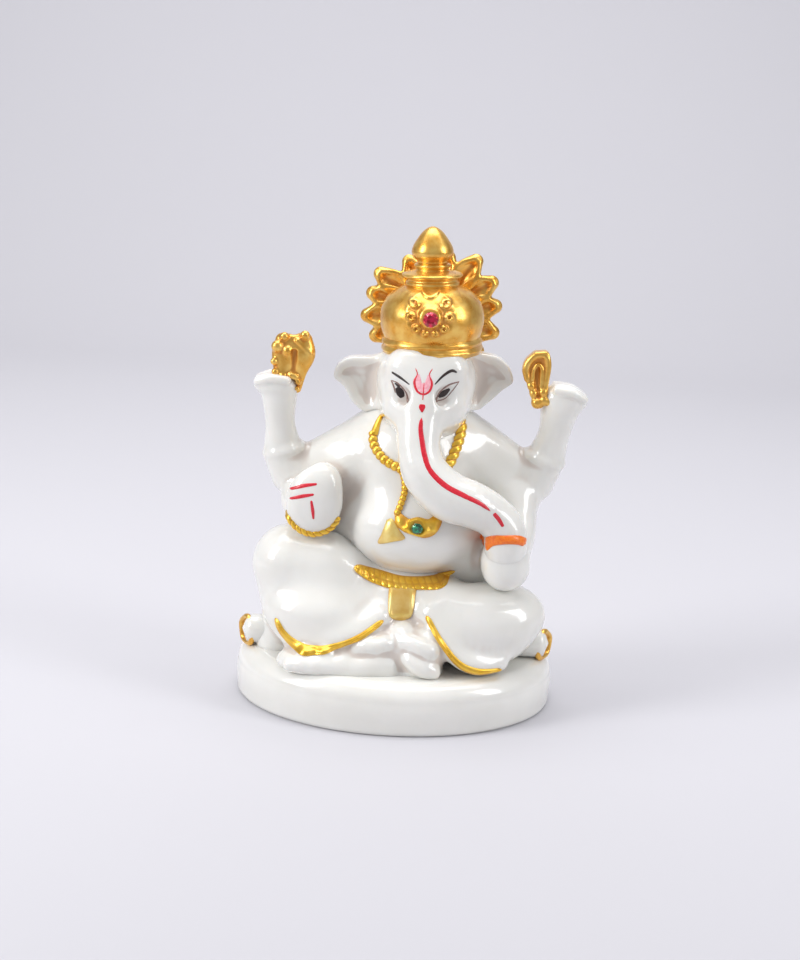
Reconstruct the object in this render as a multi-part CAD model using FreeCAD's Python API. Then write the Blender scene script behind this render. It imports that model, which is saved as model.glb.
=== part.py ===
"""Seated four-armed elephant-headed idol on an oval plinth, in millimetres.

The origin is the middle of the plinth's underside. +Z is up, the figure faces -Y,
and left and right are the figure's own, so its right side is on -X. Every piece is
one solid. Where two masses run into each other, the raised trim keeps its whole
shape and the mass behind it is cut away, so neighbours meet face to face.
"""
import FreeCAD, Part
import math
import os

Vector = FreeCAD.Vector

# Plinth and the roll cushion on it
PLINTH_LENGTH = 89.4
PLINTH_DEPTH = 72.6
PLINTH_HEIGHT = 14.0
PLINTH_TOP_ROUND = 4.5
PLINTH_FOOT_ROUND = 2.2
BOLSTER_RADIUS = 4.1
BOLSTER_END_INSET = 1.6
BOLSTER_FORWARD = 5.0
BOLSTER_END_ROUND = 1.2
RING_WIDTH = 1.6
RING_PROUD = 0.5
RING_INSET = 1.2

JOINT_STEP = 0.985

# Heights of the masses, each above the one that it stands on
HIPS_ABOVE_SEAT = 13.5
BELLY_ABOVE_HIPS = 23.0
CHEST_ABOVE_BELLY = 18.5
HEAD_ABOVE_CHEST = 21.5
CROWN_ABOVE_HEAD = 8.5

# Half widths, half depths and half heights of the masses
HIPS_SIZE = (21.0, 17.5, 14.0)
BELLY_SIZE = (18.8, 16.0, 13.5)
CHEST_SIZE = (19.0, 12.0, 14.0)
WAIST_RADIUS = 11.5
HEAD_SIZE = (13.6, 12.8, 14.0)
CHEEK_SIZE = (11.3, 10.6, 9.3)
KNEE_RADIUS = 10.8
THIGH_RADIUS = 11.0
SHIN_DRAPE_SIZE = (16.6, 13.5, 10.4)
LEFT_DRAPE_SIZE = (13.0, 10.0, 10.0)
LEFT_LEG_RADIUS = 10.4
LEFT_LEG_END_RADIUS = 9.4
HEM_RADIUS = 1.0

# Arms and hands
UPPER_ARM_RADIUS = 7.2
ELBOW_RADIUS = 5.6
FOREARM_RADIUS = 4.3
WRIST_RADIUS = 4.9
ARMLET_RADIUS = 5.6
ARMLET_WIDTH = 2.6
ARMLET_BITE = 0.8
PALM_SIZE = (7.7, 4.0, 9.6)
BANGLE_RADIUS = 1.1
BANGLE_HOOP_RADIUS = 8.4
BANGLE_FORWARD = 1.0
BANGLE_SWEEP = 140.0
BANGLE_START = 110.0
PALM_SEAM_TURN = 90.0
REAR_HAND_SIZE = (6.6, 5.0, 3.9)
SWEET_HAND_SIZE = (7.0, 7.0, 7.2)

# Head, trunk and ears
TRUNK_ROOT_RADIUS = 7.2
TRUNK_RADIUS = 5.7
TRUNK_BAND_WIDTH = 2.6
TRUNK_BAND_PROUD = 0.5
EAR_THICKNESS = 3.4
EAR_REACH = 9.0

# Crown, from its lower edge upwards
CROWN_BAND_RADIUS = 13.8
CROWN_BAND_HEIGHT = 3.6
CROWN_DOME_RADIUS = 14.2
CROWN_DOME_HEIGHT = 14.6
CROWN_RING_RADIUS = 8.2
CROWN_RINGS_HEIGHT = 6.0
CROWN_NECK_RADIUS = 4.4
FINIAL_RADIUS = 5.6
FINIAL_HEIGHT = 9.6
CROWN_LEAN = 2.6
ROSETTE_RADIUS = 6.0
ROSETTE_DEPTH = 2.4
CROWN_STONE_RADIUS = 2.0
STONE_DEPTH = 1.6
STONE_PROUD = 0.7

# Halo plate
HALO_RADIUS = 20.0
HALO_ROOT_RADIUS = 15.0
HALO_THICKNESS = 3.0
HALO_RAYS = 16
HALO_SETBACK = 10.5
HALO_ABOVE_CROWN = 8.2

# Ornaments on the body
NECKLACE_RADIUS = 1.3
CHAIN_RADIUS = 1.1
PENDANT_RADIUS = 2.0
PENDANT_STONE_RADIUS = 1.4
LEAF_THICKNESS = 2.0
BELT_RADIUS = 1.8
BELT_REACH = 15.0
BELT_ABOVE_HIPS = 8.4
BELT_RISE = 3.6
SASH_WIDTH = 7.0
SASH_LENGTH = 9.5
SASH_THICKNESS = 3.0

# Where the masses stand. Each height is counted from the piece underneath.
SEAT = PLINTH_HEIGHT
HIPS = Vector(1.0, -0.5, SEAT + HIPS_ABOVE_SEAT)
BELLY = Vector(3.5, -3.0, HIPS.z + BELLY_ABOVE_HIPS)
CHEST = Vector(2.0, 3.0, BELLY.z + CHEST_ABOVE_BELLY)
HEAD = Vector(5.0, -1.0, CHEST.z + HEAD_ABOVE_CHEST)
CROWN = Vector(6.0, 2.0, HEAD.z + CROWN_ABOVE_HEAD)


def ellipsoid(centre, half_sizes, seam_turn=0.0):
    """Closed ellipsoid along X, Y and Z, its seam turned from +X by degrees about Z."""
    ball_radius = 10.0
    ball = Part.makeSphere(ball_radius)
    ball.rotate(Vector(0, 0, 0), Vector(0, 0, 1), seam_turn)
    matrix = FreeCAD.Matrix()
    matrix.scale(*(half / ball_radius for half in half_sizes))
    matrix.move(centre)
    return ball.transformGeometry(matrix)


def turned(profile, base, direction=Vector(0, 0, 1)):
    """Solid of revolution of a closed (radius, height) wire about base + direction."""
    body = Part.Face(Part.Wire(profile)).revolve(Vector(0, 0, 0), Vector(0, 0, 1), 360.0)
    body.Placement = FreeCAD.Placement(base, FreeCAD.Rotation(Vector(0, 0, 1), direction))
    return Part.makeSolid(body) if body.ShapeType == "Shell" else body


def segment(start, end):
    return Part.LineSegment(start, end).toShape()


def flat(radius, height):
    """Point of a turned profile."""
    return Vector(radius, 0, height)


def round_cone(start, start_radius, end, end_radius):
    """Two balls and the cone that touches both, as one turned solid."""
    axis = end - start
    length = axis.Length
    lean = (start_radius - end_radius) / length
    spread = math.sqrt(1.0 - lean * lean)
    foot = flat(0, -start_radius)
    low = flat(start_radius * spread, start_radius * lean)
    high = flat(end_radius * spread, length + end_radius * lean)
    top = flat(0, length + end_radius)
    low_angle = (math.asin(lean) - math.pi / 2) / 2
    low_mid = flat(start_radius * math.cos(low_angle), start_radius * math.sin(low_angle))
    high_angle = (math.asin(lean) + math.pi / 2) / 2
    high_mid = flat(end_radius * math.cos(high_angle), length + end_radius * math.sin(high_angle))
    edges = [
        Part.Arc(foot, low_mid, low).toShape(),
        segment(low, high),
        Part.Arc(high, high_mid, top).toShape(),
        segment(top, foot),
    ]
    return turned(edges, start, axis)


def limb(stations):
    """Round cones through (point, radius) stations, joined into one solid.

    Each length starts a hair inside the ball that ends the one before it.
    """
    joined = None
    for (start, start_radius), (end, end_radius) in zip(stations, stations[1:]):
        if joined is None:
            joined = round_cone(start, start_radius, end, end_radius)
        else:
            length = round_cone(start, start_radius * JOINT_STEP, end, end_radius)
            joined = joined.fuse(length)
    return joined


def cord(points, radius):
    """Round bar of one radius through the points."""
    return limb([(point, radius) for point in points])


def fused(*solids):
    return solids[0].multiFuse(list(solids[1:]))


def disc(centre, direction, radius, depth):
    """Cylinder that starts at centre and runs along direction."""
    return Part.makeCylinder(radius, depth, centre, direction)


def plate(points, depth, y_front):
    """Closed smooth outline in X and Z, given depth towards +Y from y_front."""
    curve = Part.BSplineCurve()
    curve.interpolate([Vector(x, y_front, z) for x, z in points], PeriodicFlag=True)
    return Part.Face(Part.Wire(curve.toShape())).extrude(Vector(0, depth, 0))


def polygon_plate(points, depth, y_front):
    """Closed straight-sided outline in X and Z, given depth towards +Y."""
    corners = [Vector(x, y_front, z) for x, z in points]
    return Part.Face(Part.makePolygon(corners + corners[:1])).extrude(Vector(0, depth, 0))


# Joints of the limbs, from the masses that they grow out of
RIGHT_KNEE = Vector(-30.0, -6.0, SEAT + 24.3)
RIGHT_SHIN = Vector(-20.5, -10.5, SEAT + 12.6)
LEFT_KNEE = Vector(31.0, -8.0, SEAT + 12.0)
LEFT_SHIN = Vector(16.5, -13.5, SEAT + 12.6)
LEFT_DRAPE = Vector(20.5, -14.5, SEAT + 9.6)
RIGHT_SHOULDER = CHEST + Vector(-14.5, 2.5, 0.8)
LEFT_SHOULDER = CHEST + Vector(14.5, 2.5, 3.4)
REAR_RIGHT_ELBOW = CHEST + Vector(-33.2, 0.0, -8.0)
REAR_LEFT_ELBOW = CHEST + Vector(34.2, 0.0, -6.0)
REAR_RIGHT_WRIST = CHEST + Vector(-37.2, -3.0, 13.5)
REAR_LEFT_WRIST = CHEST + Vector(39.8, -3.0, 14.5)
FRONT_RIGHT_ELBOW = CHEST + Vector(-28.5, -3.0, -14.5)
FRONT_LEFT_ELBOW = CHEST + Vector(28.5, -2.5, -11.5)
PALM = CHEST + Vector(-25.8, -14.0, -11.0)
SWEET_HAND = LEFT_KNEE + Vector(-2.0, -6.5, 16.5)
TRUNK_TURN = CHEST + Vector(10.5, -20.5, -8.5)
TRUNK_DROP = CHEST + Vector(24.2, -16.6, -13.6)


def plinth():
    """Oval block with a rounded upper edge."""
    oval = Part.Ellipse(Vector(0, 0, 0), PLINTH_LENGTH / 2, PLINTH_DEPTH / 2).toShape()
    block = Part.Face(Part.Wire(oval)).extrude(Vector(0, 0, PLINTH_HEIGHT))
    top = [edge for edge in block.Edges if edge.BoundBox.ZMin > PLINTH_HEIGHT - 0.01]
    rounded = block.makeFillet(min(PLINTH_TOP_ROUND, PLINTH_HEIGHT / 3), top)
    foot = [edge for edge in rounded.Edges if edge.BoundBox.ZMax < 0.01]
    return rounded.makeFillet(PLINTH_FOOT_ROUND, foot)


BOLSTER_HALF = PLINTH_LENGTH / 2 - BOLSTER_END_INSET
BOLSTER_AXIS = Vector(0, -BOLSTER_FORWARD, SEAT + BOLSTER_RADIUS)


def seat_bolster():
    """Roll cushion across the plinth, under the figure."""
    start = BOLSTER_AXIS - Vector(BOLSTER_HALF, 0, 0)
    roll = disc(start, Vector(1, 0, 0), BOLSTER_RADIUS, 2 * BOLSTER_HALF)
    ends = [edge for edge in roll.Edges if edge.BoundBox.XLength < 0.01]
    return roll.makeFillet(BOLSTER_END_ROUND, ends)


def bolster_ring(side):
    """Painted ring round one end of the roll cushion."""
    near = BOLSTER_AXIS + Vector(side * (BOLSTER_HALF - RING_INSET - RING_WIDTH), 0, 0)
    outward = Vector(side, 0, 0)
    outer = disc(near, outward, BOLSTER_RADIUS + RING_PROUD, RING_WIDTH)
    return outer.cut(disc(near, outward, BOLSTER_RADIUS - RING_PROUD, RING_WIDTH))


def hips():
    return ellipsoid(HIPS, HIPS_SIZE)


def right_leg():
    """Raised knee, thigh back to the hips and the draped shin under them."""
    thigh = limb([(RIGHT_KNEE, KNEE_RADIUS), (HIPS + Vector(-9, 0, 2.5), THIGH_RADIUS)])
    return fused(thigh, ellipsoid(RIGHT_SHIN, SHIN_DRAPE_SIZE))


def left_leg():
    """Folded leg lying across the front, knee outwards."""
    egg = round_cone(LEFT_SHIN, LEFT_LEG_END_RADIUS, LEFT_KNEE, LEFT_LEG_RADIUS)
    return fused(egg, ellipsoid(LEFT_DRAPE, LEFT_DRAPE_SIZE))


def right_foot():
    return ellipsoid(Vector(-3.5, -23.5, SEAT + 5.6), (6.2, 6.2, 7.0))


def left_foot():
    return ellipsoid(Vector(8.0, -23.5, SEAT + 6.4), (6.0, 5.8, 7.6))


def right_toes():
    """Low front edge of the right foot, below the hem."""
    return ellipsoid(Vector(-19.5, -24.0, SEAT + 2.0), (10.0, 5.4, 3.6))


def right_hem():
    """Raised gold border along the lower edge of the right leg's drape."""
    return cord([
        Vector(-32.7, -15.5, SEAT + 10.2),
        Vector(-29.4, -19.2, SEAT + 5.4),
        Vector(-23.5, -22.2, SEAT + 3.9),
        Vector(-13.5, -23.5, SEAT + 6.9),
        Vector(-4.2, -21.0, SEAT + 12.5),
    ], HEM_RADIUS)


def left_hem():
    """Raised gold border along the lower edge of the left leg's drape."""
    return cord([
        Vector(8.2, -20.5, SEAT + 14.4),
        Vector(11.6, -23.2, SEAT + 9.8),
        Vector(16.7, -23.6, SEAT + 4.5),
        Vector(21.8, -21.4, SEAT + 2.0),
        Vector(28.6, -17.5, SEAT + 1.4),
    ], HEM_RADIUS)


def torso():
    """Chest and belly, with a waist that reaches down into the hips."""
    waist = round_cone(HIPS, WAIST_RADIUS, BELLY + Vector(0, 2, 0), WAIST_RADIUS)
    return fused(ellipsoid(BELLY, BELLY_SIZE), ellipsoid(CHEST, CHEST_SIZE), waist)


def head():
    """Skull with the cheeks that run down into the neck."""
    skull = ellipsoid(HEAD, HEAD_SIZE)
    cheeks = ellipsoid(HEAD + Vector(-0.3, 0.9, -8.1), CHEEK_SIZE)
    return fused(skull, cheeks)


def trunk():
    """Trunk that hangs from the brow, turns to the figure's left and dips."""
    return limb([
        (HEAD + Vector(-1.2, -7.0, -5.0), TRUNK_ROOT_RADIUS),
        (HEAD + Vector(-1.4, -12.5, -13.5), TRUNK_RADIUS),
        (TRUNK_TURN + Vector(-6.0, 1.5, 5.0), TRUNK_RADIUS),
        (TRUNK_TURN, TRUNK_RADIUS),
        (TRUNK_DROP, TRUNK_RADIUS),
        (SWEET_HAND + Vector(-0.6, -0.5, 6.0), TRUNK_RADIUS),
    ])


def trunk_band():
    """Orange ring round the trunk's end, just above the hand."""
    lower = SWEET_HAND + Vector(-0.6, -0.5, 6.8)
    direction = TRUNK_DROP - lower
    outer = disc(lower, direction, TRUNK_RADIUS + TRUNK_BAND_PROUD, TRUNK_BAND_WIDTH)
    return outer.cut(disc(lower, direction, TRUNK_RADIUS - TRUNK_BAND_PROUD, TRUNK_BAND_WIDTH))


def ear(side):
    """Broad thin fan beside the head."""
    root = HEAD.x + side * (HEAD_SIZE[0] - 4.0)
    outline = [
        (root, HEAD.z + 6.0),
        (root + side * (EAR_REACH + 2.0), HEAD.z + 5.6),
        (root + side * (EAR_REACH + 6.6), HEAD.z - 0.6),
        (root + side * (EAR_REACH + 1.0), HEAD.z - 6.6),
        (root + side * 5.0, HEAD.z - 11.0),
        (root - side * 1.0, HEAD.z - 9.0),
    ]
    return plate(outline, EAR_THICKNESS, HEAD.y + 2.6)


def rear_arm(shoulder, elbow, wrist):
    """Upper arm out from the shoulder and forearm up to the raised hand."""
    return limb([(shoulder, UPPER_ARM_RADIUS), (elbow, ELBOW_RADIUS),
                 (elbow + (wrist - elbow) * 0.6, FOREARM_RADIUS), (wrist, WRIST_RADIUS)])


def armlet(elbow, wrist):
    """Hoop round the forearm above the elbow; the forearm's core runs through it."""
    axis = wrist - elbow
    near = elbow + axis * 0.3
    core = disc(near, axis, FOREARM_RADIUS - ARMLET_BITE, ARMLET_WIDTH)
    return disc(near, axis, ARMLET_RADIUS, ARMLET_WIDTH).cut(core)


def rear_hand(wrist, side):
    return ellipsoid(wrist + Vector(side * 1.9, -0.6, 4.6), REAR_HAND_SIZE)


def front_right_arm():
    return limb([(RIGHT_SHOULDER + Vector(1, -2, -5), UPPER_ARM_RADIUS),
                 (FRONT_RIGHT_ELBOW, ELBOW_RADIUS)])


def right_palm():
    """Open hand raised in blessing, facing forwards."""
    return ellipsoid(PALM, PALM_SIZE, PALM_SEAM_TURN)


def wrist_bangle():
    """Gold border under the heel of the open hand, a half hoop in X and Z."""
    middle = PALM + Vector(0, -BANGLE_FORWARD, BANGLE_HOOP_RADIUS - PALM_SIZE[2])
    hoop = Part.makeTorus(BANGLE_HOOP_RADIUS, BANGLE_RADIUS, middle, Vector(0, 1, 0),
                          0, 360, BANGLE_SWEEP)
    hoop.rotate(middle, Vector(0, 1, 0), BANGLE_START)
    return hoop


def front_left_arm():
    return limb([(LEFT_SHOULDER + Vector(0, -2, -5), UPPER_ARM_RADIUS),
                 (FRONT_LEFT_ELBOW, ELBOW_RADIUS + 0.8),
                 (SWEET_HAND + Vector(0, 3, 2), WRIST_RADIUS)])


def left_hand_with_sweet():
    """Rounded hand and sweet on the left knee, under the end of the trunk."""
    return ellipsoid(SWEET_HAND, SWEET_HAND_SIZE)


def axe():
    """Two-lobed blade on a short handle, in the rear right hand."""
    grip = REAR_RIGHT_WRIST + Vector(4.6, -1.5, 1.5)
    top = grip + Vector(0.8, 1.0, 9.0)
    handle = limb([(grip, 1.3), (top, 1.6)])
    outer_lobe = limb([(grip + Vector(-3.0, 1.0, 9.2), 2.7), (grip + Vector(-2.6, 1.0, 14.2), 3.0)])
    inner_lobe = limb([(grip + Vector(1.8, 1.0, 9.4), 2.4), (grip + Vector(1.9, 1.2, 14.8), 2.7)])
    return fused(handle, outer_lobe, inner_lobe)


def noose():
    """Upright teardrop loop in the rear left hand, with a hollowed front."""
    grip = REAR_LEFT_WRIST + Vector(-5.2, -1.5, 1.0)
    outline = [
        (grip.x - 1.2, grip.z),
        (grip.x - 6.0, grip.z + 9.5),
        (grip.x - 3.6, grip.z + 14.6),
        (grip.x + 1.4, grip.z + 16.2),
        (grip.x + 2.4, grip.z + 12.0),
        (grip.x + 1.6, grip.z + 5.0),
        (grip.x + 1.8, grip.z),
    ]
    body = plate(outline, 4.0, grip.y - 1.4)
    hollow = ellipsoid(Vector(grip.x - 1.4, grip.y - 1.6, grip.z + 10.6), (2.0, 1.6, 3.2))
    return body.cut(hollow)


def leaned(solid):
    """Tip a piece of the crown about the crown's foot."""
    solid.rotate(CROWN, Vector(0, 1, 0), -CROWN_LEAN)
    return solid


def crown_band():
    """Plain hoop round the brow."""
    edges = [
        segment(flat(0, 0), flat(CROWN_BAND_RADIUS, 0)),
        Part.Arc(flat(CROWN_BAND_RADIUS, 0),
                 flat(CROWN_BAND_RADIUS + 0.6, CROWN_BAND_HEIGHT / 2),
                 flat(CROWN_BAND_RADIUS, CROWN_BAND_HEIGHT)).toShape(),
        segment(flat(CROWN_BAND_RADIUS, CROWN_BAND_HEIGHT), flat(0, CROWN_BAND_HEIGHT)),
        segment(flat(0, CROWN_BAND_HEIGHT), flat(0, 0)),
    ]
    return leaned(turned(edges, CROWN))


def crown_dome():
    """Bulging cap between the hoop and the two rings."""
    foot_radius = CROWN_BAND_RADIUS - 1.6
    neck = CROWN_RING_RADIUS - 1.0
    edges = [
        segment(flat(0, 0), flat(foot_radius, 0)),
        Part.Arc(flat(foot_radius, 0), flat(CROWN_DOME_RADIUS, CROWN_DOME_HEIGHT * 0.36),
                 flat(neck, CROWN_DOME_HEIGHT)).toShape(),
        segment(flat(neck, CROWN_DOME_HEIGHT), flat(0, CROWN_DOME_HEIGHT)),
        segment(flat(0, CROWN_DOME_HEIGHT), flat(0, 0)),
    ]
    return leaned(turned(edges, CROWN + Vector(0, 0, CROWN_BAND_HEIGHT)))


def crown_rings():
    """Two hoops and the narrow neck over the cap."""
    half = CROWN_RINGS_HEIGHT / 2
    edges = [
        segment(flat(0, 0), flat(CROWN_RING_RADIUS - 1.0, 0)),
        segment(flat(CROWN_RING_RADIUS - 1.0, 0), flat(CROWN_RING_RADIUS, half)),
        segment(flat(CROWN_RING_RADIUS, half), flat(CROWN_NECK_RADIUS, 2 * half)),
        segment(flat(CROWN_NECK_RADIUS, 2 * half), flat(0, 2 * half)),
        segment(flat(0, 2 * half), flat(0, 0)),
    ]
    lift = CROWN_BAND_HEIGHT + CROWN_DOME_HEIGHT
    return leaned(turned(edges, CROWN + Vector(0, 0, lift)))


def crown_finial():
    """Pointed bud at the very top."""
    edges = [
        segment(flat(0, 0), flat(CROWN_NECK_RADIUS, 0)),
        Part.Arc(flat(CROWN_NECK_RADIUS, 0), flat(FINIAL_RADIUS, FINIAL_HEIGHT * 0.25),
                 flat(FINIAL_RADIUS * 0.75, FINIAL_HEIGHT * 0.52)).toShape(),
        segment(flat(FINIAL_RADIUS * 0.75, FINIAL_HEIGHT * 0.52), flat(0.8, FINIAL_HEIGHT)),
        segment(flat(0.8, FINIAL_HEIGHT), flat(0, FINIAL_HEIGHT)),
        segment(flat(0, FINIAL_HEIGHT), flat(0, 0)),
    ]
    lift = CROWN_BAND_HEIGHT + CROWN_DOME_HEIGHT + CROWN_RINGS_HEIGHT
    return leaned(turned(edges, CROWN + Vector(0, 0, lift)))


ROSETTE_CENTRE = CROWN + Vector(-1.0, -CROWN_DOME_RADIUS + 1.2, CROWN_BAND_HEIGHT + 6.5)
PENDANT_CENTRE = Vector(4.3, BELLY.y - BELLY_SIZE[1] + 0.2, BELLY.z + 3.2)


def crown_rosette():
    """Flower that holds the crown's stone, with a seat for the stone."""
    flower = disc(ROSETTE_CENTRE, Vector(0, -1, 0), ROSETTE_RADIUS, ROSETTE_DEPTH)
    return flower.cut(crown_stone())


def crown_stone():
    """Flat-backed faceted stone, as a short round plug."""
    back = ROSETTE_CENTRE + Vector(0, -ROSETTE_DEPTH - STONE_PROUD + STONE_DEPTH, 0)
    return disc(back, Vector(0, -1, 0), CROWN_STONE_RADIUS, STONE_DEPTH)


def halo():
    """Ring plate of pointed rays behind the crown."""
    points = []
    for index in range(2 * HALO_RAYS):
        angle = math.pi * (index + 0.7) / HALO_RAYS
        radius = HALO_RADIUS if index % 2 == 0 else HALO_ROOT_RADIUS
        points.append((CROWN.x - 0.5 + radius * math.cos(angle),
                       CROWN.z + HALO_ABOVE_CROWN + radius * math.sin(angle)))
    return polygon_plate(points, HALO_THICKNESS, CROWN.y + HALO_SETBACK)


def necklace():
    """Rope round the neck, open at the front where the chain hangs."""
    front = CHEST.y - CHEST_SIZE[1]
    return cord([
        Vector(CHEST.x - 7.6, front + 2.6, CHEST.z + 12.2),
        Vector(CHEST.x - 11.4, front + 1.6, CHEST.z + 6.2),
        Vector(CHEST.x - 7.2, front - 0.4, CHEST.z + 0.8),
        Vector(CHEST.x - 1.4, front - 0.9, CHEST.z - 0.6),
        Vector(CHEST.x + 9.0, front - 0.2, CHEST.z - 0.8),
        Vector(CHEST.x + 13.0, front + 2.6, CHEST.z + 7.6),
        Vector(CHEST.x + 11.6, front + 3.4, CHEST.z + 13.6),
    ], NECKLACE_RADIUS)


def long_chain():
    """Beaded chain from the rope down to the pendant."""
    front = BELLY.y - BELLY_SIZE[1]
    return cord([
        Vector(CHEST.x - 2.4, CHEST.y - CHEST_SIZE[1] - 0.4, CHEST.z - 2.6),
        Vector(CHEST.x - 1.8, front + 2.2, CHEST.z - 7.4),
        Vector(PENDANT_CENTRE.x - 5.4, front + 0.6, BELLY.z + 6.2),
    ], CHAIN_RADIUS)


def pendant():
    """Crescent across the upper belly, with a seat for its stone."""
    centre = PENDANT_CENTRE
    crescent = limb([
        (centre + Vector(-5.0, 0.6, 0.6), PENDANT_RADIUS - 0.4),
        (centre + Vector(0, 0.3, -0.4), PENDANT_RADIUS),
        (centre + Vector(4.0, 0.6, 0.0), PENDANT_RADIUS),
        (centre + Vector(6.2, 1.0, 3.0), PENDANT_RADIUS - 1.2),
    ])
    return crescent.cut(pendant_stone())


def pendant_stone():
    """Small flat-backed stone in the pendant."""
    back = PENDANT_CENTRE + Vector(0, -PENDANT_RADIUS + 0.3 - STONE_PROUD + STONE_DEPTH, 0)
    return disc(back, Vector(0, -1, 0), PENDANT_STONE_RADIUS, STONE_DEPTH)


def leaf_pendant():
    """Three-cornered leaf beside the pendant."""
    centre = PENDANT_CENTRE
    outline = [(centre.x - 8.0, centre.z + 0.4), (centre.x - 11.0, centre.z - 6.2),
               (centre.x - 4.2, centre.z - 3.8)]
    return polygon_plate(outline, LEAF_THICKNESS, centre.y + 0.4)


def belt():
    """Gold belt under the belly, from hip to hip."""
    points = []
    stations = 7
    for index in range(stations):
        angle = math.radians(-160 + 140 * index / (stations - 1))
        points.append(HIPS + Vector(0.8 + BELT_REACH * math.cos(angle),
                                    (HIPS_SIZE[1] - 0.6) * math.sin(angle),
                                    BELT_ABOVE_HIPS + BELT_RISE * math.cos(angle) ** 2))
    return cord(points, BELT_RADIUS)


def sash():
    """Flat tongue that hangs from the middle of the belt."""
    top = HIPS + Vector(0, -HIPS_SIZE[1] - 1.2, 9.0)
    tongue = Part.makeBox(SASH_WIDTH, SASH_THICKNESS, SASH_LENGTH)
    tongue.translate(top + Vector(-SASH_WIDTH / 2, 0, -SASH_LENGTH))
    lower = [edge for edge in tongue.Edges
             if edge.BoundBox.ZMax < top.z - SASH_LENGTH + 0.01 and edge.BoundBox.XLength < 0.01]
    return tongue.makeFillet(1.4, lower)


PIECES = {
    "crown_stone": crown_stone,
    "pendant_stone": pendant_stone,
    "crown_rosette": crown_rosette,
    "pendant": pendant,
    "leaf_pendant": leaf_pendant,
    "long_chain": long_chain,
    "necklace": necklace,
    "trunk_band": trunk_band,
    "sash": sash,
    "belt": belt,
    "right_hem": right_hem,
    "left_hem": left_hem,
    "wrist_bangle": wrist_bangle,
    "right_bolster_ring": lambda: bolster_ring(-1),
    "left_bolster_ring": lambda: bolster_ring(1),
    "axe": axe,
    "noose": noose,
    "crown_band": crown_band,
    "crown_dome": crown_dome,
    "crown_rings": crown_rings,
    "crown_finial": crown_finial,
    "halo": halo,
    "right_armlet": lambda: armlet(REAR_RIGHT_ELBOW, REAR_RIGHT_WRIST),
    "left_armlet": lambda: armlet(REAR_LEFT_ELBOW, REAR_LEFT_WRIST),
    "plinth": plinth,
    "seat_bolster": seat_bolster,
    "trunk": trunk,
    "left_hand_with_sweet": left_hand_with_sweet,
    "right_palm": right_palm,
    "rear_right_hand": lambda: rear_hand(REAR_RIGHT_WRIST, -1),
    "rear_left_hand": lambda: rear_hand(REAR_LEFT_WRIST, 1),
    "right_foot": right_foot,
    "left_foot": left_foot,
    "right_toes": right_toes,
    "left_leg": left_leg,
    "right_leg": right_leg,
    "right_ear": lambda: ear(-1),
    "left_ear": lambda: ear(1),
    "head": head,
    "torso": torso,
    "hips": hips,
    "front_right_arm": front_right_arm,
    "front_left_arm": front_left_arm,
    "rear_right_arm": lambda: rear_arm(RIGHT_SHOULDER, REAR_RIGHT_ELBOW, REAR_RIGHT_WRIST),
    "rear_left_arm": lambda: rear_arm(LEFT_SHOULDER, REAR_LEFT_ELBOW, REAR_LEFT_WRIST),
}


def biggest_solid(shape):
    """The main solid of a cut piece, without slivers left by the cut."""
    return max(shape.Solids, key=lambda solid: solid.Volume)


def build():
    """Make the pieces in order, each cut by those before it that it meets."""
    made = {}
    for name, make in PIECES.items():
        solid = make()
        for other in made.values():
            if solid.BoundBox.intersect(other.BoundBox):
                solid = solid.cut(other)
        made[name] = biggest_solid(solid)
    return made


if __name__ == "__main__":
    os.makedirs("parts", exist_ok=True)
    for node, solid in build().items():
        solid.exportStep("parts/" + node + ".step")
        print(node, round(solid.Volume, 1), solid.isValid())
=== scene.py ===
"""Looks of a small seated elephant-headed idol: white cast resin, gold paint, two stones.

Sizes in this file are millimetres; only finished meshes are turned into metres.
The white masses are modelled as clay: a signed distance on a grid, negative inside,
built up from balls, bones and bent rolls that run smoothly into each other, and then
skinned. The halo and the two held emblems are clay too. The other gold is a profile
carried along a path, a turned grid, or a band or island laid over the white surface.
"""
import math
import bpy
import numpy as np
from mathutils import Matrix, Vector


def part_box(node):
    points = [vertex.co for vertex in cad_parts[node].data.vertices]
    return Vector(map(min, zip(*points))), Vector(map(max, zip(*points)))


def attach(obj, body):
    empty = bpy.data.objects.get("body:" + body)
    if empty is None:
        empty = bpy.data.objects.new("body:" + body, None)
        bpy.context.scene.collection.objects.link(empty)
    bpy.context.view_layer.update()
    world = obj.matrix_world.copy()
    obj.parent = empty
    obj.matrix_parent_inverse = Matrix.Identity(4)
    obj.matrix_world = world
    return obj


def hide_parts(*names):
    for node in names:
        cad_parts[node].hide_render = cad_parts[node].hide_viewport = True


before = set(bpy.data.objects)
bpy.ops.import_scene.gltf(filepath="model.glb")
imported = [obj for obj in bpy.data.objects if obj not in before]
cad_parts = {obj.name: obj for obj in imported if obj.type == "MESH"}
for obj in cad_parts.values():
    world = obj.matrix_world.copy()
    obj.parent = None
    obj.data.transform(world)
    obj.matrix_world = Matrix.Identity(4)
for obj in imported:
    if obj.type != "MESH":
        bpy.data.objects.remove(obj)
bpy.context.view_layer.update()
import openvdb
from mathutils import Matrix, Vector

MM = 0.001

# Places that everything else is counted from, read from the frame
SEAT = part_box("plinth")[1][2] / MM
BAND_LOW, BAND_HIGH = (np.array(corner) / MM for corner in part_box("crown_band"))
CROWN_X = (BAND_LOW[0] + BAND_HIGH[0]) / 2
CROWN_Y = (BAND_LOW[1] + BAND_HIGH[1]) / 2
CROWN_FOOT = BAND_LOW[2] + 0.6
CROWN_LEAN = math.radians(2.6)


def middle(node):
    """Middle of a node's box, in mm."""
    low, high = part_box(node)
    return (np.array(low) + np.array(high)) / (2 * MM)


def half(node):
    """Half sizes of a node's box, in mm."""
    low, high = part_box(node)
    return (np.array(high) - np.array(low)) / (2 * MM)


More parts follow.
